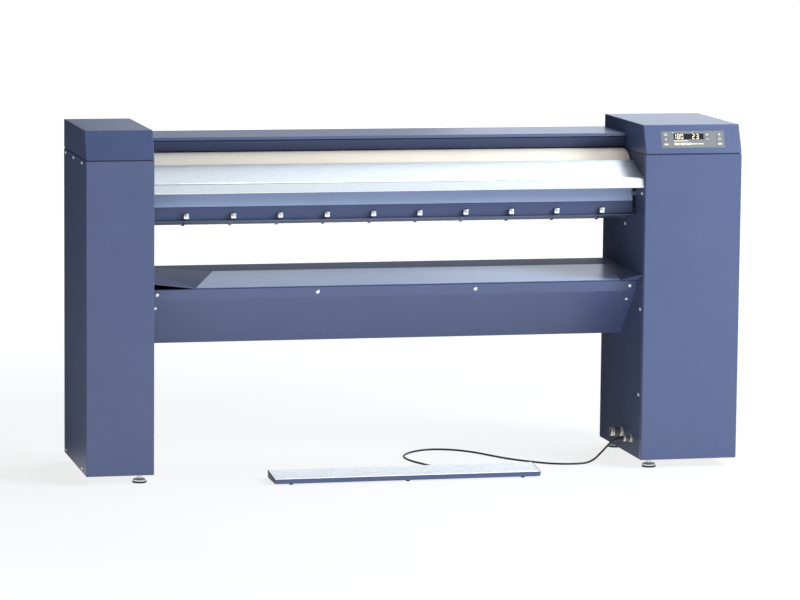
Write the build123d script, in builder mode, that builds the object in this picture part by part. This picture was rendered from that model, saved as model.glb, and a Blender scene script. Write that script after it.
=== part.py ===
"""Flatwork ironer: a padded roller between two sheet-metal columns, with its heated trough,
feed table, delivery tray and foot bar.

Millimetres, +Z up. The origin is on the floor, in the middle of the machine and its foot bar.
X runs along the roller, from the plain left column to the control column on the right.
The operator stands in front, at -Y.
"""
import math
import os

from build123d import *

os.makedirs("parts", exist_ok=True)

# ---------------------------------------------------------------- overall sizes
left_width = 198            # plain column
right_width = 297           # control and drive column
gap_width = 1469            # between the columns
column_depth = 445
casing_height = 1000        # from the casing's lower edge to the top of the caps
cap_height = 84.5
cap_lean = 35               # how far the caps' front face leans back over its height
foot_height = 27            # casing clearance above the floor
foot_bar_reach = 83         # the foot bar's front edge, ahead of the columns
break_gap = 4               # shadow gap under a cap

# ---------------------------------------------------------------- faces that the other places are measured from
total_width = left_width + gap_width + right_width
x_left_out = -total_width / 2
x_left_in = x_left_out + left_width
x_right_in = x_left_in + gap_width
x_right_out = total_width / 2
gap_middle = (x_left_in + x_right_in) / 2
y_back = (column_depth + foot_bar_reach) / 2
y_front = y_back - column_depth
z_casing = foot_height
z_top = z_casing + casing_height
z_break = z_top - cap_height
z_panel_top = z_break - break_gap / 2
z_cap = z_break + break_gap / 2
z_frame_top = z_panel_top - 5
lean = math.atan2(cap_lean, cap_height)

# ---------------------------------------------------------------- sheet, plates and fits
casing_sheet = 2
casing_bend = 3             # outside radius of a casing fold
front_return = 20           # how far a front panel folds back round its corners
seam = 0.5                  # open seam between neighbouring panels
rest_gap = 0.3              # pieces that lie on each other
running_gap = 0.05          # radial clearance of a shaft in its bush
frame_plate = 5
frame_flange = 50
base_plate = 4
rim_wall = 2
vent_rows = 8
vent_pitch = 14
vent_height = 5
vent_length = 100
vent_z = z_casing + 108

# ---------------------------------------------------------------- roller
roller_radius = 105         # over the cloth
cloth_thickness = 2.5
padding_thickness = 11.5
tube_wall = 4
roller_drop = 189           # of its axis, below the casing's top
roller_y = y_front + 222
roller_z = z_top - roller_drop
roller_side_gap = 3         # from the cloth's end to the column
end_disc_thickness = 8
journal_radius = 20

# ---------------------------------------------------------------- heated trough
trough_wall = 14
trough_clearance = 1        # left between trough and cloth when it is pressed on
trough_from = -55           # degrees about the roller, 0 straight back, 90 up
trough_to = 70
trough_side_gap = 8
insulation_thickness = 9
pivot_drop = 278            # below the roller's axis
pivot_y = roller_y + 79
pivot_z = roller_z - pivot_drop
pivot_pin_radius = 8
press_travel = 12           # of the trough, measured at the roller's height
arm_thickness = 8
arm_end_radius = 23
arm_top_y = roller_y + 149
arm_top_z = roller_z
stub_reach = 70             # from the column's inner face to the trough's jacket
arm_place = 11              # from the column's inner face to the arm
cam_base = 14
cam_place = 200             # up the arm, from the pivot
cam_turn = 150              # degrees of cam for the whole press stroke
cam_gap = 0.8               # from the cam to the arm
press_shaft_radius = 10
press_bush_wall = 4
press_case_width = 48
press_case_height = 72
press_motor_radius = 23
press_motor_length = 100

# ---------------------------------------------------------------- roller drive
sprocket_teeth_roller = 28
sprocket_teeth_motor = 14
chain_pitch = 15.875
chain_width = 8
chain_height = 12
sprocket_place = 50         # from the column's inner face
motor_y = roller_y - 71
motor_z = pivot_z
motor_radius = 55
motor_length = 150
gear_case = 110
motor_shaft_radius = 10
bearing_radius = 40
bearing_depth = 22

# ---------------------------------------------------------------- hood and finger guard
hood_rise = 151             # above the roller's axis
hood_z = roller_z + hood_rise
hood_front_y = roller_y - 12
hood_sheet = 1.5
hood_lip = (hood_front_y - 5.5, hood_z - 8.5)      # lower edge of the hood's front fold
guard_top = (hood_front_y - 3.5, hood_z - 12)
guard_bottom = (hood_front_y + 17, hood_z - 43)
guard_return = (hood_front_y + 25, hood_z - 39)
guard_pivot = (hood_front_y + 2, hood_z - 15)
guard_sheet = 2
guard_pin_radius = 4
rear_cover_bottom = roller_z - 123
guard_bearing_width = 9

# ---------------------------------------------------------------- feed table, apron, stripper
table_sheet = 2
table_back = (roller_y - 77, roller_z + 78)
table_bend = (y_front + 17, roller_z + 34)
table_lip = (y_front + 10, roller_z + 4)
table_return = 20
bracket_thickness = 4
apron_sheet = 2
apron_flange = 36
apron_top = (roller_y - 113, roller_z + 4)
apron_crease = (roller_y - 125, roller_z - 42)
apron_step = 4
apron_foot = (apron_crease[0], roller_z - 80)
apron_lip = 17
apron_side_gap = 10
stripper_sheet = 2
stripper_front = (roller_y - 83, roller_z - 89)
stripper_back = (roller_y - 41, roller_z - 101)
finger_count = 10
finger_pitch = 139.3
finger_block = 15
finger_width = 8
finger_z = roller_z - 68
finger_tip = (roller_y - 72, roller_z - 103)

# ---------------------------------------------------------------- delivery tray
tray_sheet = 2
tray_drop = 254             # of its front rim, below the roller's axis
tray_rim_z = roller_z - tray_drop
tray_rim_back_z = tray_rim_z + 4
tray_rim_front = y_front + 12
tray_rim_back = y_back - 33
tray_floor_front = (y_front + 68, tray_rim_z - 22)
tray_floor_back = (y_back - 95, tray_rim_z - 9)
tray_front_left = 132       # floor corner, from the left column
tray_back_left = 232
tray_front_right = 53       # floor corner, from the right column
tray_back_right = 18
tray_back_foot = tray_rim_z - 184
band_foot = (y_front + 81, tray_rim_z - 57)
knee_foot = (y_front + 231, tray_rim_z - 204)
traverse_size = 60
traverse_wall = 4
lower_traverse = (y_back - 134, tray_rim_z - 104)
upper_traverse_z = hood_z - 69

# ---------------------------------------------------------------- feet, screws, glands
foot_inset = 40
foot_inset_side = 37
foot_pad_radius = 21
foot_pad_height = 5
foot_plate_height = 7
spindle_radius = 6
locknut_flats = 19
locknut_height = 6
screw_head_radius = 5
screw_head_height = 3
screw_radius = 2.5
inner_screws = [(y_front + 34, roller_z - 14), (roller_y - 17, roller_z - 122), (y_front + 33, tray_rim_z - 106),
                (y_front + 34, z_casing + 194)]
outer_screws = [(y_back - 31, z_break - 11.5), (y_back - 193, z_break - 11.5), (y_front + 85, z_break - 11.5),
                (y_back - 36, z_casing + 13), (y_front + 86, z_casing + 13)]
band_screw_count = 4
band_screw_inset = 19.5     # of the first and the last, from the columns
knee_screw_drop = 40
screw_length = 9
switch_gland = (y_front + 97, z_casing + 51)
switch_gland_flats = 22
switch_gland_reach = 28
switch_thread_radius = 8
supply_gland = (y_front + 193, z_casing + 57)
supply_gland_flats = 28
supply_gland_reach = 40
supply_thread_radius = 12.5
supply_bore_radius = 7

# ---------------------------------------------------------------- control panel
fascia_width = 195
fascia_height = 52
fascia_z = z_top - 42.6
fascia_proud = 0.4
fascia_flange = 4
key_width = 18
key_height = 11
key_pitch = 15
key_gap = 0.3
key_travel = 0.5
display_width = 92
display_height = 17

# ---------------------------------------------------------------- foot bar and cable
bar_length = 799
bar_depth = 100
bar_offset = 3.5            # the bar's middle, right of the gap's middle
bar_foot = 4
bar_foot_radius = 6
bar_foot_pitch = 348
hinge_pin_radius = 2
grommet_radius = 6
grommet_reach = 8
spring_radius = 4
spring_wire = 0.8
bar_front_height = 19
bar_back_height = 29
bar_sheet = 2
treadle_travel = 1.8        # degrees
cable_diameter = 6
cable_entry_x = 101
cable_entry_z = 14.3


class Column:
    """One column: its two faces along X, and the way from the gap into it."""

    def __init__(self, name, inner, outer):
        self.name = name
        self.inner = inner
        self.outer = outer
        self.into = 1 if outer > inner else -1
        self.middle = (inner + outer) / 2
        self.width = abs(outer - inner)

    def at(self, depth):
        """X at a depth into the column, from the face beside the gap."""
        return self.inner + self.into * depth


left = Column("left", x_left_in, x_left_out)
right = Column("right", x_right_in, x_right_out)
columns = [left, right]


def write(piece, name):
    """Label a finished piece and write it as a STEP file of that name."""
    piece.part.label = name
    export_step(piece.part, f"parts/{name}.step")


def block(x1, x2, y1, y2, z1, z2, mode=Mode.ADD):
    """A block between two corners, joined to or cut from the part that is being built."""
    with Locations(((x1 + x2) / 2, (y1 + y2) / 2, (z1 + z2) / 2)):
        Box(abs(x2 - x1), abs(y2 - y1), abs(z2 - z1), mode=mode)


def rod(x1, x2, y, z, radius, mode=Mode.ADD):
    """A round bar along X, joined to or cut from the part that is being built."""
    with Locations(Location(((x1 + x2) / 2, y, z), (0, 90, 0))):
        Cylinder(radius, abs(x2 - x1), mode=mode)


def folded_sheet(points, thickness, radii, x_start, x_end, side=Side.LEFT):
    """A sheet folded to a profile of (y, z) points and running along X."""
    with BuildPart() as sheet:
        with BuildSketch(Plane.YZ.offset(x_start)):
            with BuildLine():
                FilletPolyline(*points, radius=radii)
                offset(amount=thickness, side=side)
            make_face()
        extrude(amount=x_end - x_start)
    return sheet


# ---------------------------------------------------------------- columns
foot_ys = [y_front + foot_inset, y_back - foot_inset]
arm_angle = math.atan2(arm_top_z - pivot_z, arm_top_y - pivot_y)
press_angle = press_travel / (roller_z - pivot_z)
arm_along = Vector(0, math.cos(arm_angle), math.sin(arm_angle))
arm_across = Vector(0, math.sin(arm_angle), -math.cos(arm_angle))
cam_centre = (Vector(0, pivot_y, pivot_z) + arm_along * cam_place
              + arm_across * (arm_end_radius + cam_base + cam_gap))
shaft_y, shaft_z = cam_centre.Y, cam_centre.Z
panel_middle_y = y_front + (fascia_z - z_break) * math.tan(lean)
panel_plane = Plane(origin=(right.middle, panel_middle_y, fascia_z), x_dir=(1, 0, 0),
                    z_dir=(0, -math.cos(lean), math.sin(lean)))
side_inset = casing_sheet + rest_gap
motor_face = sprocket_place + chain_width + 16


def front_panel(column):
    """Front sheet, folded back round both upright corners."""
    with BuildPart() as panel:
        with BuildSketch(Plane.XY.offset(z_casing)) as outline:
            with Locations((column.middle, y_front + front_return / 2)):
                Rectangle(column.width, front_return)
            fillet(outline.vertices().group_by(Axis.Y)[0], casing_bend)
            with Locations((column.middle, y_front + casing_sheet + front_return / 2)):
                Rectangle(column.width - 2 * casing_sheet, front_return, mode=Mode.SUBTRACT)
        extrude(amount=z_panel_top - z_casing)
    write(panel, f"{column.name}_front_panel")


def inner_openings(column, depth_from, depth_to):
    """Cut what passes from the gap into the column: journal, trough arm, press shaft and glands."""
    x1, x2 = column.at(depth_from), column.at(depth_to)
    rod(x1, x2, roller_y, roller_z, journal_radius + 6, Mode.SUBTRACT)
    block(x1, x2, arm_top_y - 40, arm_top_y + 26, arm_top_z - 30, arm_top_z + 30, Mode.SUBTRACT)
    rod(x1, x2, shaft_y, shaft_z, press_shaft_radius + press_bush_wall + running_gap, Mode.SUBTRACT)
    for y, z in inner_screws:
        rod(x1, x2, y, z, screw_radius + running_gap, Mode.SUBTRACT)
    if column is right:
        rod(x1, x2, *switch_gland, switch_thread_radius + running_gap, Mode.SUBTRACT)
        rod(x1, x2, *supply_gland, supply_thread_radius + running_gap, Mode.SUBTRACT)


def cap(column):
    """Hollow cap with a front face that leans back."""
    with BuildPart() as hollow:
        with BuildSketch(Plane.YZ.offset(min(column.inner, column.outer))):
            with BuildLine():
                Polyline((y_front + (z_cap - z_break) * math.tan(lean), z_cap), (y_back, z_cap), (y_back, z_top),
                         (y_front + cap_lean, z_top), close=True)
            make_face()
        extrude(amount=column.width)
        fillet(hollow.edges().filter_by(lambda edge: edge.center().Z > z_cap + 1), casing_bend - 0.5)
        offset(amount=-casing_sheet, openings=hollow.faces().sort_by(Axis.Z)[0])
        rod(column.at(-1), column.at(casing_sheet + 1), *guard_pivot, guard_pin_radius + rest_gap, Mode.SUBTRACT)
        if column is right:
            with BuildSketch(panel_plane):
                Rectangle(fascia_width + 2 * rest_gap, fascia_height + 2 * rest_gap)
            extrude(amount=3 * casing_sheet, both=True, mode=Mode.SUBTRACT)
    write(hollow, f"{column.name}_cap")


for column in columns:
    front_panel(column)
    cap(column)

with BuildPart() as inner_panels:
    for column in columns:
        block(column.inner, column.at(casing_sheet), y_front + front_return + seam, y_back, z_casing, z_panel_top)
        inner_openings(column, -1, casing_sheet + 1)
write(inner_panels, "inner_panels")

with BuildPart() as outer_panels:
    for column in columns:
        face = column.outer
        block(face, face - column.into * casing_sheet, y_front + front_return + seam, y_back, z_casing, z_panel_top)
        for y, z in outer_screws:
            rod(face - 5, face + 5, y, z, screw_radius + running_gap, Mode.SUBTRACT)
write(outer_panels, "outer_panels")

with BuildPart() as back_panels:
    for column in columns:
        inset = casing_sheet + seam
        block(column.at(inset), column.at(column.width - inset), y_back - casing_sheet, y_back, z_casing, z_panel_top)
        for row in range(vent_rows):
            z = vent_z + row * vent_pitch
            block(column.middle - vent_length / 2, column.middle + vent_length / 2, y_back - 2 * casing_sheet,
                  y_back + 1, z, z + vent_height, Mode.SUBTRACT)
write(back_panels, "back_panels")

# ---------------------------------------------------------------- steel inside the columns
near_web = casing_sheet + frame_plate
shelf_z = motor_z - gear_case / 2
with BuildPart() as side_frames:
    for column in columns:
        y1, y2 = y_front + casing_sheet, y_back - casing_sheet
        z1 = z_casing + base_plate
        block(column.at(casing_sheet), column.at(frame_flange), y1, y2, z1, z_frame_top)
        block(column.at(near_web), column.at(frame_flange + 1), y1 + frame_plate, y2 - frame_plate, z1 - 1,
              z_frame_top + 1, Mode.SUBTRACT)
        inner_openings(column, 0, near_web + 1)
        # pivot pin of the trough's arm, with a shoulder before the arm
        rod(column.at(casing_sheet), column.at(arm_place + arm_thickness + 4), pivot_y, pivot_z, pivot_pin_radius)
        rod(column.at(near_web - 1), column.at(arm_place - rest_gap), pivot_y, pivot_z, pivot_pin_radius + 6)
    # shelf under the roller's motor
    block(right.at(near_web - 1), right.at(motor_face + gear_case), motor_y - gear_case / 2, motor_y + gear_case / 2,
          shelf_z - 6, shelf_z)
    block(right.at(near_web - 1), right.at(near_web + 6), motor_y - gear_case / 2, motor_y + gear_case / 2,
          shelf_z - 60, shelf_z)
write(side_frames, "side_frames")

with BuildPart() as base_plates:
    for column in columns:
        block(column.at(side_inset), column.at(column.width - side_inset), y_front + side_inset, y_back - side_inset,
              z_casing, z_casing + base_plate)
        with Locations(*[(column.at(foot_inset_side), y, z_casing + base_plate / 2) for y in foot_ys]):
            Cylinder(spindle_radius + 0.2, base_plate * 2, mode=Mode.SUBTRACT)
write(base_plates, "base_plates")

# tray-shaped plates that close the columns, carry the caps on their rims and hold the finger guard's pins
z_rim = z_cap + 6
rim_front = y_front + (z_rim - z_break) * math.tan(lean) + casing_sheet / math.cos(lean) + rest_gap
with BuildPart() as cap_frames:
    for column in columns:
        block(column.at(side_inset), column.at(column.width - side_inset), rim_front, y_back - side_inset,
              z_frame_top, z_rim)
        block(column.at(side_inset + rim_wall), column.at(column.width - side_inset - rim_wall), rim_front + rim_wall,
              y_back - side_inset - rim_wall, z_panel_top, z_rim + 1, Mode.SUBTRACT)
        bearing_near = side_inset + rim_wall / 2
        block(column.at(bearing_near), column.at(bearing_near + guard_bearing_width), guard_pivot[0] - 12,
              guard_pivot[0] + 12, z_panel_top - 1, guard_pivot[1] + 10)
        rod(column.at(0), column.at(bearing_near + guard_bearing_width + 1), *guard_pivot,
            guard_pin_radius + running_gap, Mode.SUBTRACT)
write(cap_frames, "cap_frames")


# ---------------------------------------------------------------- roller
cloth_x1 = x_left_in + roller_side_gap
cloth_x2 = x_right_in - roller_side_gap
padding_radius = roller_radius - cloth_thickness - rest_gap
tube_radius = padding_radius - padding_thickness - rest_gap


def ring(x1, x2, y, z, outer, inner):
    """A tube along X."""
    with BuildPart() as tube:
        rod(x1, x2, y, z, outer)
        rod(x1 - 1, x2 + 1, y, z, inner, Mode.SUBTRACT)
    return tube


write(ring(cloth_x1, cloth_x2, roller_y, roller_z, roller_radius, roller_radius - cloth_thickness), "roller_cloth")
write(ring(cloth_x1 + 1, cloth_x2 - 1, roller_y, roller_z, padding_radius, padding_radius - padding_thickness),
      "roller_padding")
write(ring(cloth_x1 + 2, cloth_x2 - 2, roller_y, roller_z, tube_radius, tube_radius - tube_wall), "roller_tube")

journal_ends = {left: bearing_depth + 14, right: sprocket_place + chain_width + 8}
with BuildPart() as roller_ends:
    for column in columns:
        disc_face = column.at(-roller_side_gap - 2)
        rod(disc_face, column.at(-roller_side_gap - 2 - end_disc_thickness), roller_y, roller_z,
            tube_radius - tube_wall - running_gap)
        rod(disc_face, column.at(journal_ends[column]), roller_y, roller_z, journal_radius)
write(roller_ends, "roller_ends")

with BuildPart() as bearings:
    for column in columns:
        rod(column.at(near_web), column.at(near_web + 8), roller_y, roller_z, bearing_radius)
        rod(column.at(near_web + 8), column.at(near_web + bearing_depth), roller_y, roller_z, bearing_radius - 9)
        rod(column.at(near_web - 1), column.at(near_web + bearing_depth + 1), roller_y, roller_z,
            journal_radius + running_gap, Mode.SUBTRACT)
        rod(column.at(0), column.at(arm_place - 1), shaft_y, shaft_z, press_shaft_radius + press_bush_wall)
        rod(column.at(-1), column.at(arm_place), shaft_y, shaft_z, press_shaft_radius + running_gap, Mode.SUBTRACT)
write(bearings, "bearings")

# ---------------------------------------------------------------- heated trough, drawn open
open_turn = -press_angle
rel_y, rel_z = roller_y - pivot_y, roller_z - pivot_z
trough_y = pivot_y + rel_y * math.cos(open_turn) - rel_z * math.sin(open_turn)
trough_z = pivot_z + rel_y * math.sin(open_turn) + rel_z * math.cos(open_turn)
trough_radius = roller_radius + trough_clearance
trough_x1 = x_left_in + trough_side_gap
trough_x2 = x_right_in - trough_side_gap
jacket_radius = trough_radius + trough_wall + rest_gap
jacket_outer = jacket_radius + insulation_thickness
heater_radius = 4


def arched_sheet(inner, thickness, start, end, x1, x2):
    """Part of a tube about the open trough's axis, between two angles in degrees."""
    with BuildPart() as arch:
        with BuildSketch(Plane.YZ.offset(x1)):
            with BuildLine():
                inside = CenterArc((trough_y, trough_z), inner, start, end - start)
                outside = CenterArc((trough_y, trough_z), inner + thickness, start, end - start)
                Line(inside @ 0, outside @ 0)
                Line(inside @ 1, outside @ 1)
            make_face()
        extrude(amount=x2 - x1)
    return arch


heater_places = [
    (trough_y + (trough_radius + trough_wall / 2) * math.cos(math.radians(angle)),
     trough_z + (trough_radius + trough_wall / 2) * math.sin(math.radians(angle)))
    for angle in (-35, 5, 45)
]
shell = arched_sheet(trough_radius, trough_wall, trough_from, trough_to, trough_x1, trough_x2)
with BuildPart() as heated_trough:
    add(shell.part)
    for y, z in heater_places:
        rod(trough_x1 - 1, trough_x2 + 1, y, z, heater_radius + running_gap, Mode.SUBTRACT)
write(heated_trough, "heated_trough")

with BuildPart() as heating_rods:
    for y, z in heater_places:
        rod(trough_x1 + 2, trough_x2 - 2, y, z, heater_radius)
write(heating_rods, "heating_rods")

write(arched_sheet(jacket_radius, insulation_thickness, trough_from + 4, trough_to - 4, trough_x1, trough_x2),
      "trough_jacket")

with BuildPart() as trough_arms:
    for column in columns:
        x1, x2 = sorted([column.at(arm_place), column.at(arm_place + arm_thickness)])
        with BuildSketch(Plane.YZ.offset(x1)):
            with Locations((pivot_y, pivot_z), (arm_top_y, arm_top_z)):
                Circle(arm_end_radius)
            make_hull()
            with Locations((pivot_y, pivot_z)):
                Circle(pivot_pin_radius + running_gap, mode=Mode.SUBTRACT)
        extrude(amount=x2 - x1)
        # stub that reaches out through the column's window to the trough's jacket
        block(column.at(-stub_reach), column.at(arm_place + 1), arm_top_y - 25, arm_top_y + 12,
              arm_top_z - 16, arm_top_z + 16)
        rod(column.at(-stub_reach - 1), column.at(arm_place), trough_y, trough_z, jacket_outer + rest_gap, Mode.SUBTRACT)
write(trough_arms, "trough_arms")

# ---------------------------------------------------------------- press drive
cam_rise = cam_place * press_angle
cam_start = math.degrees(math.atan2(-arm_across.Z, -arm_across.Y))


def cam_point(turn):
    """Point of the cam that bears on the arm once the shaft has turned by so many degrees."""
    radius = cam_base + cam_rise * turn / cam_turn
    angle = math.radians(cam_start - turn)
    return (shaft_y + radius * math.cos(angle), shaft_z + radius * math.sin(angle))


with BuildPart() as press_cams:
    for column in columns:
        x1, x2 = sorted([column.at(arm_place), column.at(arm_place + arm_thickness)])
        with BuildSketch(Plane.YZ.offset(x1)):
            with BuildLine():
                Spline(*[cam_point(turn) for turn in range(0, cam_turn + 1, 15)])
                heel = CenterArc((shaft_y, shaft_z), cam_base, cam_start, 360 - cam_turn)
                Line(heel @ 1, cam_point(cam_turn))
            make_face()
            with Locations((shaft_y, shaft_z)):
                Circle(press_shaft_radius + running_gap, mode=Mode.SUBTRACT)
        extrude(amount=x2 - x1)
write(press_cams, "press_cams")

case_near = arm_place + arm_thickness + 6
case_far = case_near + press_case_width
case_back = y_back - casing_sheet - frame_plate - rest_gap
with BuildPart() as press_shaft:
    rod(left.at(case_far + 5), right.at(case_near - 1), shaft_y, shaft_z, press_shaft_radius)
write(press_shaft, "press_shaft")

with BuildPart() as press_motor:
    block(left.at(case_near), left.at(case_far), shaft_y - 38, case_back, shaft_z - press_case_height / 2,
          shaft_z + press_case_height / 2)
    with Locations((left.at((case_near + case_far) / 2), shaft_y,
                    shaft_z - (press_case_height + press_motor_length) / 2)):
        Cylinder(press_motor_radius, press_motor_length)
    rod(left.at(case_near - 1), left.at(case_far + 1), shaft_y, shaft_z, press_shaft_radius + running_gap,
        Mode.SUBTRACT)
write(press_motor, "press_motor")

# ---------------------------------------------------------------- roller drive


def pitch_radius(teeth):
    """Radius of a chain wheel at the chain's pins."""
    return chain_pitch / (2 * math.sin(math.pi / teeth))


def sprocket(teeth, y, z, bore):
    """Chain wheel in the right column, with a seat for each roller of the chain."""
    radius = pitch_radius(teeth) - chain_height / 2 - rest_gap
    with BuildPart() as wheel:
        with BuildSketch(Plane.YZ.offset(right.at(sprocket_place))):
            with Locations((y, z)):
                Circle(radius)
                Circle(bore, mode=Mode.SUBTRACT)
                with PolarLocations(radius + 1, teeth):
                    Circle(chain_pitch / 4, mode=Mode.SUBTRACT)
        extrude(amount=chain_width)
    return wheel


write(sprocket(sprocket_teeth_roller, roller_y, roller_z, journal_radius + running_gap), "roller_sprocket")
with BuildPart() as motor_sprocket:
    add(sprocket(sprocket_teeth_motor, motor_y, motor_z, motor_shaft_radius - 1).part)
    rod(right.at(sprocket_place - 6), right.at(motor_face + 20), motor_y, motor_z, motor_shaft_radius)
write(motor_sprocket, "motor_sprocket")

with BuildPart() as drive_chain:
    with BuildSketch(Plane.YZ.offset(right.at(sprocket_place - 1))):
        for height, way in ((chain_height / 2, Mode.ADD), (-chain_height / 2, Mode.SUBTRACT)):
            with BuildSketch(Plane.YZ.offset(right.at(sprocket_place - 1)), mode=way) as loop:
                with Locations((roller_y, roller_z)):
                    Circle(pitch_radius(sprocket_teeth_roller) + height)
                with Locations((motor_y, motor_z)):
                    Circle(pitch_radius(sprocket_teeth_motor) + height)
                make_hull()
    extrude(amount=chain_width + 2)
write(drive_chain, "drive_chain")

with BuildPart() as drive_motor:
    block(right.at(motor_face), right.at(motor_face + gear_case), motor_y - gear_case / 2, motor_y + gear_case / 2,
          motor_z - gear_case / 2, motor_z + gear_case / 2)
    rod(right.at(motor_face - 1), right.at(motor_face + 20 + rest_gap), motor_y, motor_z,
        motor_shaft_radius + running_gap, Mode.SUBTRACT)
    with Locations((right.at(motor_face + gear_case / 2), motor_y, motor_z + gear_case / 2 + motor_length / 2)):
        Cylinder(motor_radius, motor_length)
write(drive_motor, "drive_motor")

# ---------------------------------------------------------------- traverses, hood, rear cover
hood_x1 = x_left_in + seam
hood_x2 = x_right_in - seam


upper_traverse_y = y_back - casing_sheet - traverse_size / 2
with BuildPart() as traverses:
    half = traverse_size / 2
    for y, z in (lower_traverse, (upper_traverse_y, upper_traverse_z)):
        block(x_left_in, x_right_in, y - half, y + half, z - half, z + half)
        block(x_left_in - 1, x_right_in + 1, y - half + traverse_wall, y + half - traverse_wall,
              z - half + traverse_wall, z + half - traverse_wall, Mode.SUBTRACT)
write(traverses, "traverses")

hood = folded_sheet([(y_back, hood_z), (hood_front_y, hood_z), hood_lip], hood_sheet, [3], hood_x1, hood_x2)
write(hood, "hood_cover")

with BuildPart() as rear_cover:
    block(hood_x1, hood_x2, y_back - hood_sheet, y_back, rear_cover_bottom, hood_z - hood_sheet - rest_gap)
    block(hood_x1, hood_x2, y_back - 16, y_back, rear_cover_bottom, rear_cover_bottom + hood_sheet)
write(rear_cover, "rear_cover")

# ---------------------------------------------------------------- finger guard
guard_strip = folded_sheet([guard_top, guard_bottom, guard_return], guard_sheet, [2], hood_x1 + 1, hood_x2 - 1)
with BuildPart() as finger_guard:
    add(guard_strip.part)
    for column in columns:
        ear = column.at(-2.5)
        x1, x2 = sorted([ear, column.at(-6.5)])
        with BuildSketch(Plane.YZ.offset(x1)):
            with Locations(guard_pivot):
                Circle(guard_pin_radius + 2.5)
        extrude(amount=x2 - x1)
        rod(column.at(-6), column.at(side_inset + guard_bearing_width), *guard_pivot, guard_pin_radius)
write(finger_guard, "finger_guard")

# ---------------------------------------------------------------- feed table
table_x1 = x_left_in + seam
table_x2 = x_right_in - seam
table_hem = (table_back[0] - 5, table_back[1] - 9.5)
table_tuck = (table_lip[0] + table_return, table_lip[1])
table = folded_sheet([table_hem, table_back, table_bend, table_lip, table_tuck], table_sheet, [2.2, 7, 3],
                     table_x1, table_x2)
write(table, "feed_table")

table_slope = (table_back[1] - table_bend[1]) / (table_back[0] - table_bend[0])
table_drop = table_sheet * math.sqrt(1 + table_slope ** 2) + rest_gap


def under_table(y):
    """Height just under the feed table."""
    return table_bend[1] + (y - table_bend[0]) * table_slope - table_drop


bracket_foot = apron_top[1] + apron_sheet + rest_gap
bracket_top_y = table_back[0] - 14
bracket_front = table_lip[0] + table_return + 4
clip_z = (apron_top[1] + apron_crease[1]) / 2
with BuildPart() as table_brackets:
    for column in columns:
        x1, x2 = sorted([column.at(0), column.at(-bracket_thickness)])
        with BuildSketch(Plane.YZ.offset(x1)):
            with BuildLine():
                Polyline((apron_top[0] - 8, bracket_foot), (bracket_top_y, under_table(bracket_top_y)),
                         (bracket_front, under_table(bracket_front)), (bracket_front, table_lip[1] + 4),
                         close=True)
            make_face()
        extrude(amount=x2 - x1)
        # foot that carries the apron, and clip that holds its end
        block(column.at(0), column.at(-apron_side_gap - 10), apron_top[0] - apron_flange, apron_top[0] - 8,
              bracket_foot, bracket_foot + bracket_thickness)
        block(column.at(0), column.at(-apron_side_gap - 4), apron_crease[0] - 2, apron_crease[0] + 4,
              clip_z - 7, clip_z + 5)
write(table_brackets, "table_brackets")

# ---------------------------------------------------------------- apron, stripper bar and fingers
apron_x1 = x_left_in + apron_side_gap
apron_x2 = x_right_in - apron_side_gap
finger_slot = finger_width + 2
finger_stem = 7             # thickness of a finger where it passes through the sheets
finger_xs = [gap_middle + (index - (finger_count - 1) / 2) * finger_pitch for index in range(finger_count)]
apron_profile = folded_sheet(
    [(apron_top[0] - apron_flange, apron_top[1]), apron_top, apron_crease,
     (apron_crease[0] + apron_step, apron_crease[1] - 2.5), apron_foot,
     (apron_foot[0] - apron_lip, apron_foot[1] - 1)],
    apron_sheet, [3, 1, 1, 2.5], apron_x1, apron_x2)
with BuildPart() as apron:
    add(apron_profile.part)
    for x in finger_xs:
        block(x - finger_slot / 2, x + finger_slot / 2, apron_foot[0] - 2, apron_foot[0] + 2 * finger_stem,
              finger_z - finger_slot / 2, finger_z + finger_slot / 2, Mode.SUBTRACT)
write(apron, "apron")

stripper_flange_y = apron_foot[0] + apron_step + 2 * apron_sheet + rest_gap
stripper_profile = folded_sheet(
    [(stripper_flange_y, apron_crease[1] - 8), (stripper_flange_y, stripper_front[1] + 5), stripper_front,
     stripper_back], stripper_sheet, [3, 12], apron_x1 + 2, apron_x2 - 2, Side.RIGHT)
stem_end = stripper_flange_y + stripper_sheet + finger_stem
with BuildPart() as stripper_bar:
    add(stripper_profile.part)
    for x in finger_xs:
        block(x - finger_slot / 2, x + finger_slot / 2, stripper_flange_y - stripper_sheet - 1, stem_end,
              finger_z - finger_slot / 2, finger_z + finger_slot / 2, Mode.SUBTRACT)
        block(x - finger_slot / 2, x + finger_slot / 2, stem_end, finger_tip[0] - 1, stripper_back[1],
              stripper_front[1] + 8, Mode.SUBTRACT)
write(stripper_bar, "stripper_bar")

with BuildPart() as outlet_fingers:
    for x in finger_xs:
        with BuildSketch(Plane.YZ.offset(x - finger_width / 2)):
            with BuildLine():
                Polyline((apron_foot[0] - 2, finger_z + finger_stem / 2), (stem_end, finger_z + finger_stem / 2),
                         (finger_tip[0] + 3, finger_tip[1] + 1), finger_tip, (finger_tip[0] - 5, finger_tip[1] + 1),
                         (stem_end - finger_stem, finger_z - finger_stem / 2),
                         (apron_foot[0] - 2, finger_z - finger_stem / 2), close=True)
            make_face()
        extrude(amount=finger_width)
        block(x - finger_block / 2, x + finger_block / 2, apron_foot[0] - 13, apron_foot[0] - rest_gap / 2,
              finger_z - finger_block / 2, finger_z + finger_block / 2)
write(outlet_fingers, "outlet_fingers")

# ---------------------------------------------------------------- delivery tray
tray_x1 = x_left_in + seam
tray_x2 = x_right_in - seam


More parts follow.
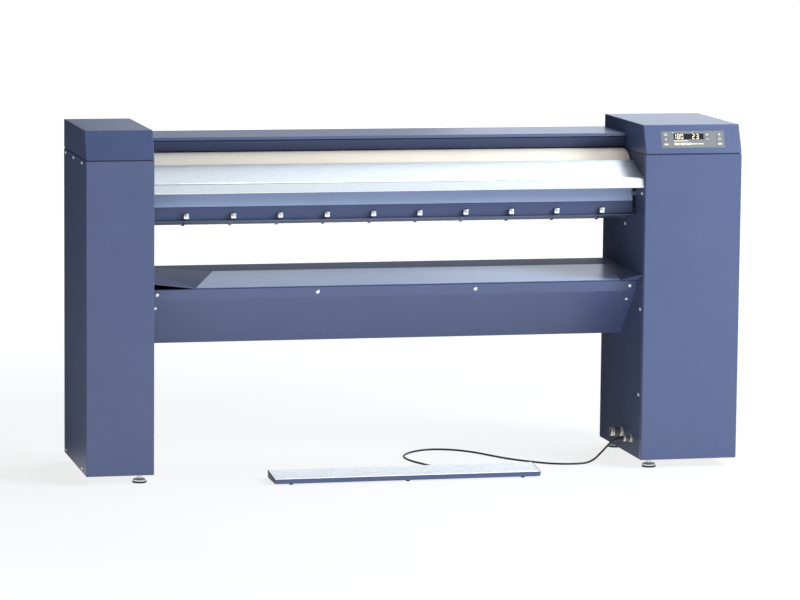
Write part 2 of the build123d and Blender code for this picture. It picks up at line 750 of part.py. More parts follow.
def tray_solid(drop):
    """Space above the tray's dish, let down by so much: floor below, rim above, ruled between."""
    floor_slope = math.degrees(math.atan2(tray_floor_back[1] - tray_floor_front[1],
                                          tray_floor_back[0] - tray_floor_front[0]))
    floor_length = math.hypot(tray_floor_back[0] - tray_floor_front[0], tray_floor_back[1] - tray_floor_front[1])
    floor_plane = Plane(origin=(0, tray_floor_front[0], tray_floor_front[1] - drop), x_dir=(1, 0, 0),
                        z_dir=Vector(0, 0, 1).rotate(Axis.X, floor_slope))
    rim_run = tray_rim_back - tray_rim_front
    rim_slope = math.degrees(math.atan2(tray_rim_back_z - tray_rim_z, rim_run))
    rim_plane = Plane(origin=(0, tray_rim_front, tray_rim_z - drop), x_dir=(1, 0, 0),
                      z_dir=Vector(0, 0, 1).rotate(Axis.X, rim_slope))
    with BuildPart() as dish:
        with BuildSketch(floor_plane):
            with BuildLine():
                Polyline((tray_x1 + tray_front_left, 0), (tray_x2 - tray_front_right, 0),
                         (tray_x2 - tray_back_right, floor_length), (tray_x1 + tray_back_left, floor_length), close=True)
            make_face()
        with BuildSketch(rim_plane):
            with BuildLine():
                Polyline((tray_x1, 0), (tray_x2, 0), (tray_x2, rim_run), (tray_x1, rim_run), close=True)
            make_face()
        loft(ruled=True)
    return dish


# the dish has no front wall: what the ruled front would leave is cut away along its own slope,
# and an ear at each end closes the corner between the side and the front sheet
ear_rise = Vector(0, tray_rim_front - tray_floor_front[0], tray_rim_z - tray_floor_front[1])
ear_out = Vector(0, -ear_rise.Z, ear_rise.Y).normalized()
past_rim = (tray_floor_front[0] + 1.1 * ear_rise.Y, tray_floor_front[1] + 1.1 * ear_rise.Z)
with BuildPart() as tray_dish:
    add(tray_solid(tray_sheet).part)
    add(tray_solid(0).part, mode=Mode.SUBTRACT)
    with BuildSketch(Plane.YZ.offset(tray_x1 - 1)):
        with BuildLine():
            Polyline((tray_floor_front[0], tray_floor_front[1] - 2 * tray_sheet), tray_floor_front,
                     past_rim, (past_rim[0] - 10, past_rim[1]),
                     (past_rim[0] - 10, tray_floor_front[1] - 2 * tray_sheet), close=True)
        make_face()
    extrude(amount=tray_x2 - tray_x1 + 2, mode=Mode.SUBTRACT)
    for corner, reach in ((tray_x1, tray_front_left), (tray_x2, -tray_front_right)):
        with BuildSketch(Plane(origin=(corner, *tray_floor_front), x_dir=(1, 0, 0), z_dir=ear_out)):
            with BuildLine():
                Polyline((0, 0), (reach, 0), (0, ear_rise.length), close=True)
            make_face()
        extrude(amount=tray_sheet)
write(tray_dish, "tray_dish")

tray_tuck_z = tray_floor_front[1] - tray_sheet - rest_gap
tray_front_sheet = folded_sheet([(tray_floor_front[0] + 18, tray_tuck_z), (tray_floor_front[0], tray_tuck_z),
                                 band_foot, knee_foot, (knee_foot[0] + 16, knee_foot[1])],
                                tray_sheet, [2.5, 3, 3], tray_x1, tray_x2)
band_middle = Vector(0, (tray_floor_front[0] + band_foot[0]) / 2, (tray_tuck_z + band_foot[1]) / 2)
band_out = Vector(0, band_foot[1] - tray_tuck_z, tray_floor_front[0] - band_foot[0]).normalized()
knee_out = Vector(0, knee_foot[1] - band_foot[1], band_foot[0] - knee_foot[0]).normalized()
knee_middle = Vector(0, *band_foot) + Vector(0, -knee_out.Z, knee_out.Y) * knee_screw_drop
band_screw_step = (gap_width - 2 * band_screw_inset) / (band_screw_count - 1)
band_screw_xs = [x_left_in + band_screw_inset + index * band_screw_step for index in range(band_screw_count)]
tray_screws = [(Vector(x, 0, 0) + band_middle, band_out) for x in band_screw_xs]
tray_screws += [(Vector(x, 0, 0) + knee_middle, knee_out) for x in (band_screw_xs[0], band_screw_xs[-1])]
with BuildPart() as tray_front:
    add(tray_front_sheet.part)
    for place, out in tray_screws:
        with BuildSketch(Plane(origin=place, z_dir=out)):
            Circle(screw_radius + running_gap)
        extrude(amount=2 * tray_sheet, both=True, mode=Mode.SUBTRACT)
write(tray_front, "tray_front")
write(folded_sheet([(tray_rim_back, tray_rim_back_z - tray_sheet - 1), (tray_rim_back, tray_back_foot),
                    (knee_foot[0] + 8, knee_foot[1] + tray_sheet + rest_gap)], tray_sheet, [3], tray_x1, tray_x2,
                   Side.RIGHT), "tray_back")

# ---------------------------------------------------------------- feet
bar_x1 = gap_middle + bar_offset - bar_length / 2
bar_x2 = bar_x1 + bar_length
bar_middle = (bar_x1 + bar_x2) / 2
bar_front = -(column_depth + foot_bar_reach) / 2
bar_back = bar_front + bar_depth
bar_foot_xs = [bar_middle - bar_foot_pitch, bar_middle, bar_middle + bar_foot_pitch]
with BuildPart() as rubber_feet:
    with Locations(*[(column.at(foot_inset_side), y, foot_pad_height / 2) for column in columns for y in foot_ys]):
        Cylinder(foot_pad_radius, foot_pad_height)
    with Locations(*[(x, y, bar_foot / 2) for x in bar_foot_xs for y in (bar_front + 9, bar_back - 12)]):
        Cylinder(bar_foot_radius, bar_foot)
    fillet(rubber_feet.edges().filter_by(GeomType.CIRCLE).group_by(Axis.Z)[0], 1)
write(rubber_feet, "rubber_feet")

spindle_top = z_casing + 28
with BuildPart() as foot_spindles:
    for column in columns:
        for y in foot_ys:
            x = column.at(foot_inset_side)
            with BuildSketch(Plane.XZ.offset(-y)):
                with BuildLine():
                    Polyline((x, foot_pad_height), (x + foot_pad_radius - 1, foot_pad_height),
                             (x + foot_pad_radius - 1, foot_pad_height + foot_plate_height - 3),
                             (x + foot_pad_radius - 5, foot_pad_height + foot_plate_height),
                             (x + spindle_radius, foot_pad_height + foot_plate_height),
                             (x + spindle_radius, spindle_top), (x, spindle_top), close=True)
                make_face()
            revolve(axis=Axis((x, y, 0), (0, 0, 1)))
            for z in (z_casing - locknut_height, z_casing + base_plate):
                with BuildSketch(Plane.XY.offset(z)):
                    with Locations((x, y)):
                        RegularPolygon(locknut_flats / 2, 6, major_radius=False)
                extrude(amount=locknut_height)
write(foot_spindles, "foot_spindles")

# ---------------------------------------------------------------- screws
casing_screws = [(Vector(column.inner, y, z), Vector(-column.into, 0, 0)) for column in columns for y, z in inner_screws]
casing_screws += [(Vector(column.outer, y, z), Vector(column.into, 0, 0)) for column in columns for y, z in outer_screws]
with BuildPart() as screws:
    for place, out in casing_screws + tray_screws:
        with BuildSketch(Plane(origin=place, z_dir=out)):
            Circle(screw_head_radius)
        extrude(amount=screw_head_height, taper=18)
        with BuildSketch(Plane(origin=place, z_dir=out)):
            Circle(screw_radius)
        extrude(amount=-screw_length)
write(screws, "screws")


# ---------------------------------------------------------------- cable glands
def gland(y, z, flats, hex_depth, thread_radius, steps, bore=0.0):
    """Gland through the right column's inner wall: nut, stepped body outside, locknut inside."""
    inside = near_web + locknut_height + 3
    with BuildPart() as fitting:
        for start, end, width in ((0, -hex_depth, flats), (near_web, near_web + locknut_height, flats + 2)):
            with BuildSketch(Plane(origin=(right.at(start), y, z), x_dir=(0, 1, 0), z_dir=(1, 0, 0))):
                RegularPolygon(width / 2, 6, major_radius=False)
            extrude(amount=end - start)
        rod(right.at(-1), right.at(inside), y, z, thread_radius)
        reach = -hex_depth
        for radius, length in steps:
            rod(right.at(reach), right.at(reach - length), y, z, radius)
            reach -= length
        if bore:
            rod(right.at(reach - 1), right.at(inside + 1), y, z, bore, Mode.SUBTRACT)
    return fitting


write(gland(*switch_gland, switch_gland_flats, 7, switch_thread_radius, [(10, 13), (8, switch_gland_reach - 20)]),
      "switch_gland")
write(gland(*supply_gland, supply_gland_flats, 10, supply_thread_radius,
            [(12.5, 18), (13.5, 5), (11.5, 2), (13, supply_gland_reach - 35)], supply_bore_radius), "supply_gland")

# ---------------------------------------------------------------- control panel
display_at = (-12, 9)
key_places = {
    "key_left_1": (-83, key_pitch), "key_left_2": (-83, 0), "key_left_3": (-83, -key_pitch),
    "key_middle_1": (45, key_pitch), "key_middle_2": (45, 0),
    "key_right_1": (83, key_pitch), "key_right_2": (83, 0), "key_right_3": (83, -key_pitch),
}
fascia_back = -casing_sheet
flange_front = fascia_back - rest_gap
board_front = flange_front - 3.1


def slab(width, height, near, far, at=(0, 0), mode=Mode.ADD):
    """A block between two heights along the panel's outward normal."""
    with Locations(panel_plane.location * Location((*at, (near + far) / 2))):
        Box(width, height, far - near, mode=mode)


with BuildPart() as control_fascia:
    slab(fascia_width, fascia_height, fascia_back - 1, fascia_proud)
    slab(fascia_width + 2 * fascia_flange, fascia_height + 2 * fascia_flange, flange_front - 1.5, flange_front)
    slab(fascia_width - 6, fascia_height - 6, flange_front - 2, fascia_back, mode=Mode.SUBTRACT)
    slab(display_width + 2 * key_gap, display_height + 2 * key_gap, -5, 2, display_at, Mode.SUBTRACT)
    for place in key_places.values():
        slab(key_width + 2 * key_gap, key_height + 2 * key_gap, -5, 2, place, Mode.SUBTRACT)
write(control_fascia, "control_fascia")

with BuildPart() as display_window:
    slab(display_width, display_height, -1.6, 0.1, display_at)
write(display_window, "display_window")

for name, place in key_places.items():
    with BuildPart() as key:
        slab(key_width, key_height, flange_front - 0.7, fascia_proud + key_travel, place)
        slab(key_width + 2, key_height + 2, flange_front - 0.7, flange_front, place)
    write(key, name)

with BuildPart() as control_board:
    slab(fascia_width - 10, fascia_height - 8, board_front - 1.6, board_front)
    slab(display_width - 2, display_height - 2, board_front - 0.5, -1.6 - rest_gap, display_at)
    for place in key_places.values():
        slab(5, 5, board_front - 0.5, flange_front - 0.7 - key_travel - 0.1, place)
    for x in (-fascia_width / 2 + 28, fascia_width / 2 - 28):
        for y in (-fascia_height / 2 + 8, fascia_height / 2 - 8):
            slab(4, 4, board_front - 0.5, fascia_back, (x, y))
write(control_board, "control_board")

# ---------------------------------------------------------------- foot bar
bar_slope = (bar_back_height - bar_front_height) / bar_depth
hinge_y, hinge_z = bar_front + 6, bar_front_height - 5
base_x1, base_x2 = bar_x1 + bar_sheet + 0.5, bar_x2 - bar_sheet - 0.5
spring_y = bar_back - 26
switch_y = bar_back - 32
notch_half = 12


def bar_top(y):
    """Height of the treadle's upper face."""
    return bar_front_height + (y - bar_front) * bar_slope


with BuildPart() as foot_bar_base:
    block(base_x1, base_x2, bar_front, bar_back - 4, bar_foot, bar_foot + bar_sheet)
    block(base_x1, base_x2, bar_front, bar_front + bar_sheet, bar_foot, bar_front_height - bar_sheet - 0.5)
    block(base_x1, base_x2, bar_back - 6, bar_back - 4, bar_foot, bar_back_height - 7)
    for x1, x2 in ((base_x1 + 1, base_x1 + 4), (base_x2 - 4, base_x2 - 1)):
        block(x1, x2, bar_front + 1, bar_front + 12, bar_foot + 1, hinge_z + 2.6)
        rod(x1 - 1, x2 + 1, hinge_y, hinge_z, hinge_pin_radius + running_gap, Mode.SUBTRACT)
    with Locations(Location((cable_entry_x, bar_back - 5, cable_entry_z), (90, 0, 0))):
        Cylinder(grommet_radius + running_gap, 6, mode=Mode.SUBTRACT)
write(foot_bar_base, "foot_bar_base")

with BuildPart() as foot_bar_treadle:
    with BuildSketch(Plane.YZ.offset(bar_x1)):
        with BuildLine():
            Polyline((bar_front, bar_top(bar_front)), (bar_back, bar_top(bar_back)), (bar_back, hinge_z),
                     (bar_back - bar_sheet, hinge_z), (bar_back - bar_sheet, bar_top(bar_back) - 1.25 * bar_sheet),
                     (bar_front, bar_top(bar_front) - bar_sheet), close=True)
        make_face()
    extrude(amount=bar_length)
    for x in (bar_x1, bar_x2 - bar_sheet):
        with BuildSketch(Plane.YZ.offset(x)):
            with BuildLine():
                Polyline((bar_front, bar_top(bar_front) - 0.5), (bar_back, bar_top(bar_back) - 0.5),
                         (bar_back, bar_foot + 3), (bar_front, bar_foot + 3), close=True)
            make_face()
        extrude(amount=bar_sheet)
    rod(bar_x1 + 1, base_x1 + 5, hinge_y, hinge_z, hinge_pin_radius)
    rod(base_x2 - 5, bar_x2 - 1, hinge_y, hinge_z, hinge_pin_radius)
    block(cable_entry_x - notch_half, cable_entry_x + notch_half, bar_back - 3, bar_back + 1,
          bar_foot, cable_entry_z + grommet_radius + 5, Mode.SUBTRACT)
write(foot_bar_treadle, "foot_bar_treadle")

with BuildPart() as foot_switch:
    block(cable_entry_x - 15, cable_entry_x + 15, switch_y - 16, bar_back - 8, bar_foot + bar_sheet, bar_foot + 13)
    with Locations((cable_entry_x, switch_y, bar_foot + 14)):
        Cylinder(4, 4.6)
    with Locations(Location((cable_entry_x, bar_back - 4 - 0.5, cable_entry_z), (90, 0, 0))):
        Cylinder(grommet_radius, 2 * grommet_reach + 1)
write(foot_switch, "foot_switch")

spring_base = bar_foot + bar_sheet
spring_top = bar_top(spring_y - spring_radius - spring_wire) - 1.01 * bar_sheet
with BuildPart() as treadle_springs:
    for x in (bar_middle - bar_foot_pitch + 60, bar_middle + bar_foot_pitch - 60):
        with BuildLine(Plane((x, spring_y, spring_base + spring_wire))) as coil:
            Helix(4, spring_top - spring_base - 2 * spring_wire - 0.1, spring_radius)
        with BuildSketch(Plane(origin=coil.line @ 0, z_dir=coil.line % 0)):
            Circle(spring_wire)
        sweep(path=coil.line)
write(treadle_springs, "treadle_springs")

# ---------------------------------------------------------------- cable from the foot bar to the column
rest_z = cable_diameter / 2
cable_route = [
    (right.at(-switch_gland_reach), *switch_gland), (628, *switch_gland), (600, -74, 42), (565, -62, rest_z),
    (505, -76, rest_z), (440, -58, rest_z), (388, -10, rest_z), (338, 45, rest_z), (298, 115, rest_z),
    (262, 185, rest_z), (205, 242, rest_z), (135, 258, rest_z), (72, 218, rest_z), (30, 150, rest_z),
    (34, 70, rest_z), (62, 0, rest_z), (92, -70, rest_z), (cable_entry_x, -122, cable_entry_z),
    (cable_entry_x, bar_back - 4 + grommet_reach, cable_entry_z),
]


def bend_radii(route):
    """Radius at each inner point, so that the arc takes 0.45 of the shorter run beside it."""
    radii = []
    for before, here, after in zip(route, route[1:], route[2:]):
        came, goes = Vector(*here) - Vector(*before), Vector(*after) - Vector(*here)
        half_turn = math.radians(came.get_angle(goes)) / 2
        radii.append(0.45 * min(came.length, goes.length) / math.tan(half_turn))
    return radii


with BuildPart() as cable:
    with BuildLine() as cable_line:
        FilletPolyline(*cable_route, radius=bend_radii(cable_route))
    with BuildSketch(Plane(origin=cable_line.line @ 0, z_dir=cable_line.line % 0)):
        Circle(cable_diameter / 2)
    sweep(path=cable_line.line)
write(cable, "cable")
cable_length = cable.part.volume / (math.pi * rest_z ** 2)
print("cable length", round(cable_length, 1), "radii", [round(radius) for radius in bend_radii(cable_route)])
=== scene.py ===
"""Looks of a flatwork ironer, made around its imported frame. Laid out as an add-on and run as a script."""
import math

import bmesh
import bpy
from mathutils import Matrix, Vector


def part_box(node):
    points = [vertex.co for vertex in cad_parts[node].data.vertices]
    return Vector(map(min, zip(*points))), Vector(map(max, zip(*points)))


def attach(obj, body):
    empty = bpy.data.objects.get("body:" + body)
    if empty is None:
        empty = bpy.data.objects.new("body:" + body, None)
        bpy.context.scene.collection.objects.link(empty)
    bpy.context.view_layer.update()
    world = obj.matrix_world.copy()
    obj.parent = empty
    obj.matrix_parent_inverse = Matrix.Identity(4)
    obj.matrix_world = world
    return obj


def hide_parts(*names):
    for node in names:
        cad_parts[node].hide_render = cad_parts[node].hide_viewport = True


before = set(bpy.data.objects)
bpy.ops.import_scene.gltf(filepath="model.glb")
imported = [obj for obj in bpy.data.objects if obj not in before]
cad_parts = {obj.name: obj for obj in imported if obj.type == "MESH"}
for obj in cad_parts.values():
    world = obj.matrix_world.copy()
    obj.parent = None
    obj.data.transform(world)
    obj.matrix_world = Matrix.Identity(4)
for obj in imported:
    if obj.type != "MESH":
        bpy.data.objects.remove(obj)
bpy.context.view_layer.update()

bl_info = {
    "name": "Flatwork Ironer Looks",
    "version": (1, 0, 0),
    "blender": (4, 5, 0),
    "location": "3D View > Sidebar > Ironer",
    "description": "Finishes and fine pieces of a roller ironer with a feed table, a tray and a foot bar",
    "category": "Object",
}

MM = 0.001
BODY = "machine"
CABLE_LENGTH = 1175
RIGHT_WALL = 0.685  # the right column's inner side
# the control panel's own frame, on the right cap's front slope, which is 35 mm deep and 84.5 mm high
PANEL_MIDDLE = (0.8335, -0.16365, 0.9844)
PANEL_LEAN = math.atan2(35, 84.5)
PANEL = Matrix.Translation(PANEL_MIDDLE) @ Matrix.Rotation(math.pi / 2 - PANEL_LEAN, 4, "X")
ALONG_X = (0, math.pi / 2, 0)


# ---------------------------------------------------------------- small tools
def shade(hex_code):
    """Linear colour of an sRGB hex code such as "4d5b7d"."""
    parts = [int(hex_code[i:i + 2], 16) / 255 for i in (0, 2, 4)]
    return [p / 12.92 if p <= 0.04045 else ((p + 0.055) / 1.055) ** 2.4 for p in parts]


def put(tree, kind, links=None, values=None, **settings):
    """Add a shader node with its settings, its input values and the links that feed it."""
    node = tree.nodes.new(kind)
    for name, value in settings.items():
        setattr(node, name, value)
    for name, value in (values or {}).items():
        node.inputs[name].default_value = value
    for name, source in (links or {}).items():
        tree.links.new(source, node.inputs[name])
    return node


def new_finish(name, colour, roughness, **sockets):
    """A material with its shader set to plain values, and the tree that its pattern goes into."""
    made = bpy.data.materials.new(name)
    made.use_nodes = True
    shader = made.node_tree.nodes["Principled BSDF"]
    shader.inputs["Base Color"].default_value = (*colour, 1)
    shader.inputs["Roughness"].default_value = roughness
    for socket, value in sockets.items():
        shader.inputs[socket.replace("_", " ")].default_value = value
    return made, made.node_tree, shader


def pick(*objects):
    """In object mode, select these objects alone and make the first one active."""
    if bpy.context.mode != "OBJECT":
        bpy.ops.object.mode_set(mode="OBJECT")
    bpy.ops.object.select_all(action="DESELECT")
    for obj in objects:
        obj.select_set(True)
    if objects:
        bpy.context.view_layer.objects.active = objects[0]


def freeze():
    """Write the place, turn and scale of the selected object into its mesh."""
    bpy.ops.object.transform_apply(location=True, rotation=True, scale=True)


def edit_select(mode, test):
    """In edit mode, select the edges or faces that pass a test of their middle and of themselves."""
    bpy.ops.mesh.select_mode(type=mode)
    bpy.ops.mesh.select_all(action="DESELECT")
    work = bmesh.from_edit_mesh(bpy.context.object.data)
    if mode == "FACE":
        for face in work.faces:
            face.select_set(test(face.calc_center_median(), face))
    else:
        for edge in work.edges:
            edge.select_set(test((edge.verts[0].co + edge.verts[1].co) / 2, edge))
    work.select_flush_mode()
    bmesh.update_edit_mesh(bpy.context.object.data)


def apply_all(obj):
    """Apply the object's modifiers in order, and its place."""
    pick(obj)
    for modifier in list(obj.modifiers):
        bpy.ops.object.modifier_apply(modifier=modifier.name)
    freeze()


def outward(obj):
    """Merge doubles and turn every face outwards."""
    pick(obj)
    bpy.ops.object.mode_set(mode="EDIT")
    bpy.ops.mesh.select_all(action="SELECT")
    bpy.ops.mesh.remove_doubles(threshold=0.00001)
    bpy.ops.mesh.normals_make_consistent(inside=False)
    bpy.ops.object.mode_set(mode="OBJECT")


def rounded(obj, width):
    """Round an object's edges by a width in millimetres, in two steps."""
    bevel = obj.modifiers.new("rounded edges", "BEVEL")
    bevel.width = width * MM
    bevel.segments = 2
    apply_all(obj)


def walled(obj, wall):
    """Give an open sheet a wall on its inner side."""
    thick = obj.modifiers.new("wall", "SOLIDIFY")
    thick.thickness = wall
    thick.offset = -1


def settle(obj, name, material, body, replaces=(), smooth=35):
    """Name a finished piece, give it its material and let it ride on its body."""
    apply_all(obj)
    obj.name = name
    obj.data.name = name
    obj.data.materials.clear()
    obj.data.materials.append(material)
    if smooth:
        bpy.ops.object.shade_smooth_by_angle(angle=math.radians(smooth))
    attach(obj, body)
    if replaces:
        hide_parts(*replaces)


def joined(pieces):
    """One object of several meshes."""
    pick(*pieces)
    if len(pieces) > 1:
        bpy.ops.object.join()
    return bpy.context.object


def copied(obj, shift):
    """A copy of a piece with its own mesh, moved by a shift."""
    twin = obj.copy()
    twin.data = obj.data.copy()
    bpy.context.scene.collection.objects.link(twin)
    twin.location = shift
    pick(twin)
    freeze()
    return twin


def box(low, high, bevel=0.0, frame_of=Matrix()):
    """A block between two corners in millimetres, rounded if asked, in a plane's own frame if given."""
    pick()
    middle = [(a + b) / 2 * MM for a, b in zip(low, high)]
    bpy.ops.mesh.primitive_cube_add(size=1, location=middle)
    made = bpy.context.object
    made.scale = [(b - a) * MM for a, b in zip(low, high)]
    freeze()
    if bevel:
        rounded(made, bevel)
    made.matrix_world = frame_of
    apply_all(made)
    return made


def drawn_line(points):
    """A chain of edges through points, left in edit mode: one corner, then one extrusion for each step."""
    pick()
    bpy.ops.mesh.primitive_plane_add(size=MM, location=points[0])
    made = bpy.context.object
    freeze()
    bpy.ops.object.mode_set(mode="EDIT")
    bpy.ops.mesh.select_all(action="SELECT")
    bpy.ops.mesh.merge(type="CENTER")
    bpy.ops.mesh.select_mode(type="VERT")
    for before, after in zip(points, points[1:]):
        step = Vector(after) - Vector(before)
        bpy.ops.mesh.extrude_vertices_move(TRANSFORM_OT_translate={"value": step})
    return made


def slab(corners, shift):
    """A plate with its corners in metres, drawn out by a shift."""
    made = drawn_line(corners)
    bpy.ops.mesh.select_all(action="SELECT")
    bpy.ops.mesh.edge_face_add()
    bpy.ops.mesh.extrude_region_move(TRANSFORM_OT_translate={"value": shift})
    bpy.ops.object.mode_set(mode="OBJECT")
    outward(made)
    return made


def profile_bar(points, x1, x2, bevel=0.0):
    """A bar along X with a closed profile of (y, z) points, all in millimetres."""
    made = slab([(x1 * MM, y * MM, z * MM) for y, z in points], ((x2 - x1) * MM, 0, 0))
    if bevel:
        rounded(made, bevel)
    return made


def turned(profile, origin, axis, steps):
    """A turned piece: (along, radius) points in millimetres, spun about an axis at an origin in metres."""
    axis, origin = Vector(axis).normalized(), Vector(origin)
    side = axis.orthogonal().normalized()
    made = drawn_line([origin + axis * (along * MM) + side * (radius * MM) for along, radius in profile])
    bpy.ops.mesh.select_all(action="SELECT")
    bpy.ops.mesh.spin(steps=steps, angle=2 * math.pi, center=origin, axis=axis)
    bpy.ops.object.mode_set(mode="OBJECT")
    outward(made)
    return made


def hexagon(flats, start, end, centre):
    """A nut along X between two depths outside the right column, its corners broken by a bevel."""
    pick()
    corner_radius = flats / 2 / math.cos(math.pi / 6) * MM
    bpy.ops.mesh.primitive_cylinder_add(vertices=6, radius=corner_radius, depth=(end - start) * MM,
                                        rotation=ALONG_X,
                                        location=(RIGHT_WALL - (start + end) / 2 * MM, *centre))
    made = bpy.context.object
    freeze()
    rounded(made, 0.8)
    return made


# ---------------------------------------------------------------- sizes and colours
def paint_prop(name, description, hex_code):
    return bpy.props.FloatVectorProperty(name=name, description=description, subtype="COLOR", size=3,
                                         min=0, max=1, default=shade(hex_code))


def size_prop(name, description, millimetres, low, high):
    return bpy.props.FloatProperty(name=name, description=description, subtype="DISTANCE", unit="LENGTH",
                                   default=millimetres * MM, min=low * MM, max=high * MM)


class IronerColours(bpy.types.PropertyGroup):
    """Colours of the visible finishes."""

    casing: paint_prop("Casing", "Powder coat of columns, covers and tray", "49567c")
    foil: paint_prop("Foil", "Printed foil of the control panel and its keys", "6f7173")
    table: paint_prop("Table", "Brushed sheet of the feed table and the stripper bar", "dfe3e6")
    cover: paint_prop("Cover", "Woven cover of the roller", "efe3d3")
    # painted highlight: a lighter tone of the casing's coat for the apron's upper face and the tray's floor,
    # where light falls
    painted_highlight: paint_prop("Pale coat", "Powder coat of the apron's upper face and the tray's floor", "a6b8dc")
    # a darker tone of the casing's coat: the finger guard's own coat, and painted shade on the cap frames
    # and inner panels
    guard: paint_prop("Guard", "Powder coat of the finger guard, cap frames and inner panels", "3a4667")
    tread: paint_prop("Tread", "Ribbed tread of the foot bar", "f2f3f5")
    sheath: paint_prop("Sheath", "Sheath of the foot bar's cable", "26241f")
    legend: paint_prop("Legend", "Print on the keys and the panel", "d9d3c4")
    digits: paint_prop("Digits", "Lit digits of the display", "fff4dc")


class IronerSizes(bpy.types.PropertyGroup):
    """Sizes of fine pieces and of patterns."""

    orange_peel: size_prop("Orange peel", "Grain of the powder coat", 2.4, 0.5, 8)
    thread: size_prop("Thread", "Spacing of the cover's threads", 5, 1, 12)
    rib: size_prop("Rib", "Spacing of the ribs on the foot bar", 8, 3, 20)
    brush: size_prop("Brush line", "Width of a brush line on bare steel", 0.7, 0.2, 4)


# ---------------------------------------------------------------- finishes
def noise(tree, **values):
    """Noise over the object's own coordinates."""
    place = put(tree, "ShaderNodeTexCoord")
    return put(tree, "ShaderNodeTexNoise", {"Vector": place.outputs["Object"]}, values)


def ramp(tree, source, start, end, low, high):
    """Map a value's range, from start to end, onto the range from low to high."""
    return put(tree, "ShaderNodeMapRange", {"Value": source},
               {"From Min": start, "From Max": end, "To Min": low, "To Max": high})


def tinted(tree, source, colour, dark, light):
    """Mix a darker and a lighter tone of a colour by a pattern."""
    tone = put(tree, "ShaderNodeMix", {"Factor": source}, data_type="RGBA")
    tone.inputs["A"].default_value = (*[c * dark for c in colour], 1)
    tone.inputs["B"].default_value = (*[min(1, c * light) for c in colour], 1)
    return tone


def wire(tree, shader, tone, gloss=None, relief=None):
    """Lead a tone, a gloss and a relief into the shader. A relief is its height, strength and distance."""
    tree.links.new(tone.outputs["Result"], shader.inputs["Base Color"])
    if gloss:
        tree.links.new(gloss.outputs["Result"], shader.inputs["Roughness"])
    if relief:
        height, strength, distance = relief
        bump = put(tree, "ShaderNodeBump", {"Height": height}, {"Strength": strength, "Distance": distance})
        tree.links.new(bump.outputs["Normal"], shader.inputs["Normal"])


def powder_coat(name, colour, roughness=0.32):
    """Polyester powder coat baked on steel sheet: an even semi-gloss skin with a faint orange peel."""
    made, tree, shader = new_finish(name, colour, roughness, IOR=1.5)
    grain = bpy.context.scene.ironer_sizes.orange_peel
    peel = noise(tree, Scale=1 / grain, Detail=2.0, Roughness=0.5)
    # powder lies a little thicker here and thinner there, over a hand's breadth
    cloud = noise(tree, Scale=9.0, Detail=3.0)
    wire(tree, shader, tinted(tree, cloud.outputs["Fac"], colour, 0.93, 1.07),
         ramp(tree, peel.outputs["Fac"], 0.3, 0.7, roughness - 0.05, roughness + 0.07),
         (peel.outputs["Fac"], 0.12, 0.0003))
    return made


def brushed_steel(name, colour, roughness):
    """Sheet brushed along its length: fine lines that draw highlights out across them."""
    made, tree, shader = new_finish(name, colour, roughness, Metallic=1.0)
    line = bpy.context.scene.ironer_sizes.brush
    place = put(tree, "ShaderNodeTexCoord")
    drawn = put(tree, "ShaderNodeMapping", {"Vector": place.outputs["Object"]}, {"Scale": (0.02, 1, 1)})
    lines = put(tree, "ShaderNodeTexNoise", {"Vector": drawn.outputs["Vector"]},
                {"Scale": 1 / line, "Detail": 4.0, "Roughness": 0.65})
    wire(tree, shader, tinted(tree, lines.outputs["Fac"], colour, 0.93, 1.05),
         ramp(tree, lines.outputs["Fac"], 0.3, 0.7, roughness - 0.08, roughness + 0.1),
         (lines.outputs["Fac"], 0.08, 0.0002))
    return made


def woven_cover(name, colour):
    """Woven meta-aramid cover cloth: matt cream threads over and under, slightly fuzzy."""
    made, tree, shader = new_finish(name, colour, 0.9, IOR=1.45, Sheen_Weight=0.25, Sheen_Roughness=0.5)
    thread = bpy.context.scene.ironer_sizes.thread
    place = put(tree, "ShaderNodeUVMap", uv_map="UVMap")
    low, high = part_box("roller_cloth")
    length, round_way = high.x - low.x, math.pi * (high.z - low.z)
    # the real threads lie 1 mm apart: they are drawn coarser, so that a render at arm's length shows them
    scaled = put(tree, "ShaderNodeMapping", {"Vector": place.outputs["UV"]},
                 {"Scale": (round_way / thread, length / thread, 1)})
    warp, weft = (put(tree, "ShaderNodeTexWave", {"Vector": scaled.outputs["Vector"]},
                      {"Scale": 0.5, "Distortion": 0.4, "Detail": 1.0}, bands_direction=way) for way in "XY")
    weave = put(tree, "ShaderNodeMath", {0: warp.outputs["Fac"], 1: weft.outputs["Fac"]},
                operation="MULTIPLY")
    use = noise(tree, Scale=5.0, Detail=4.0)
    wire(tree, shader, tinted(tree, use.outputs["Fac"], colour, 0.9, 1.06),
         relief=(weave.outputs["Value"], 0.25, 0.0006))
    return made


def grained(name, colour, roughness, grain, depth=0.0001, spread=0.08, **sockets):
    """A moulded, cast, felted or plated skin: one grain of a size in millimetres, in tone and in relief."""
    made, tree, shader = new_finish(name, colour, roughness, **sockets)
    skin = noise(tree, Scale=1 / (grain * MM), Detail=3.0, Roughness=0.6)
    wire(tree, shader, tinted(tree, skin.outputs["Fac"], colour, 1 - spread, 1 + spread),
         relief=(skin.outputs["Fac"], 0.2, depth))
    return made


def galvanised(name, colour):
    """Hot-dip galvanised steel plate: grey zinc with flat crystals 9 mm wide."""
    made, tree, shader = new_finish(name, colour, 0.5, Metallic=1.0)
    place = put(tree, "ShaderNodeTexCoord")
    spangle = put(tree, "ShaderNodeTexVoronoi", {"Vector": place.outputs["Object"]}, {"Scale": 1 / 0.009})
    wire(tree, shader, tinted(tree, spangle.outputs["Color"], colour, 0.82, 1.1),
         ramp(tree, spangle.outputs["Distance"], 0.0, 0.8, 0.4, 0.6))
    return made


def dress(material, *nodes):
    """Give carried-over nodes their material."""
    for name in nodes:
        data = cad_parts[name].data
        data.materials.clear()
        data.materials.append(material)


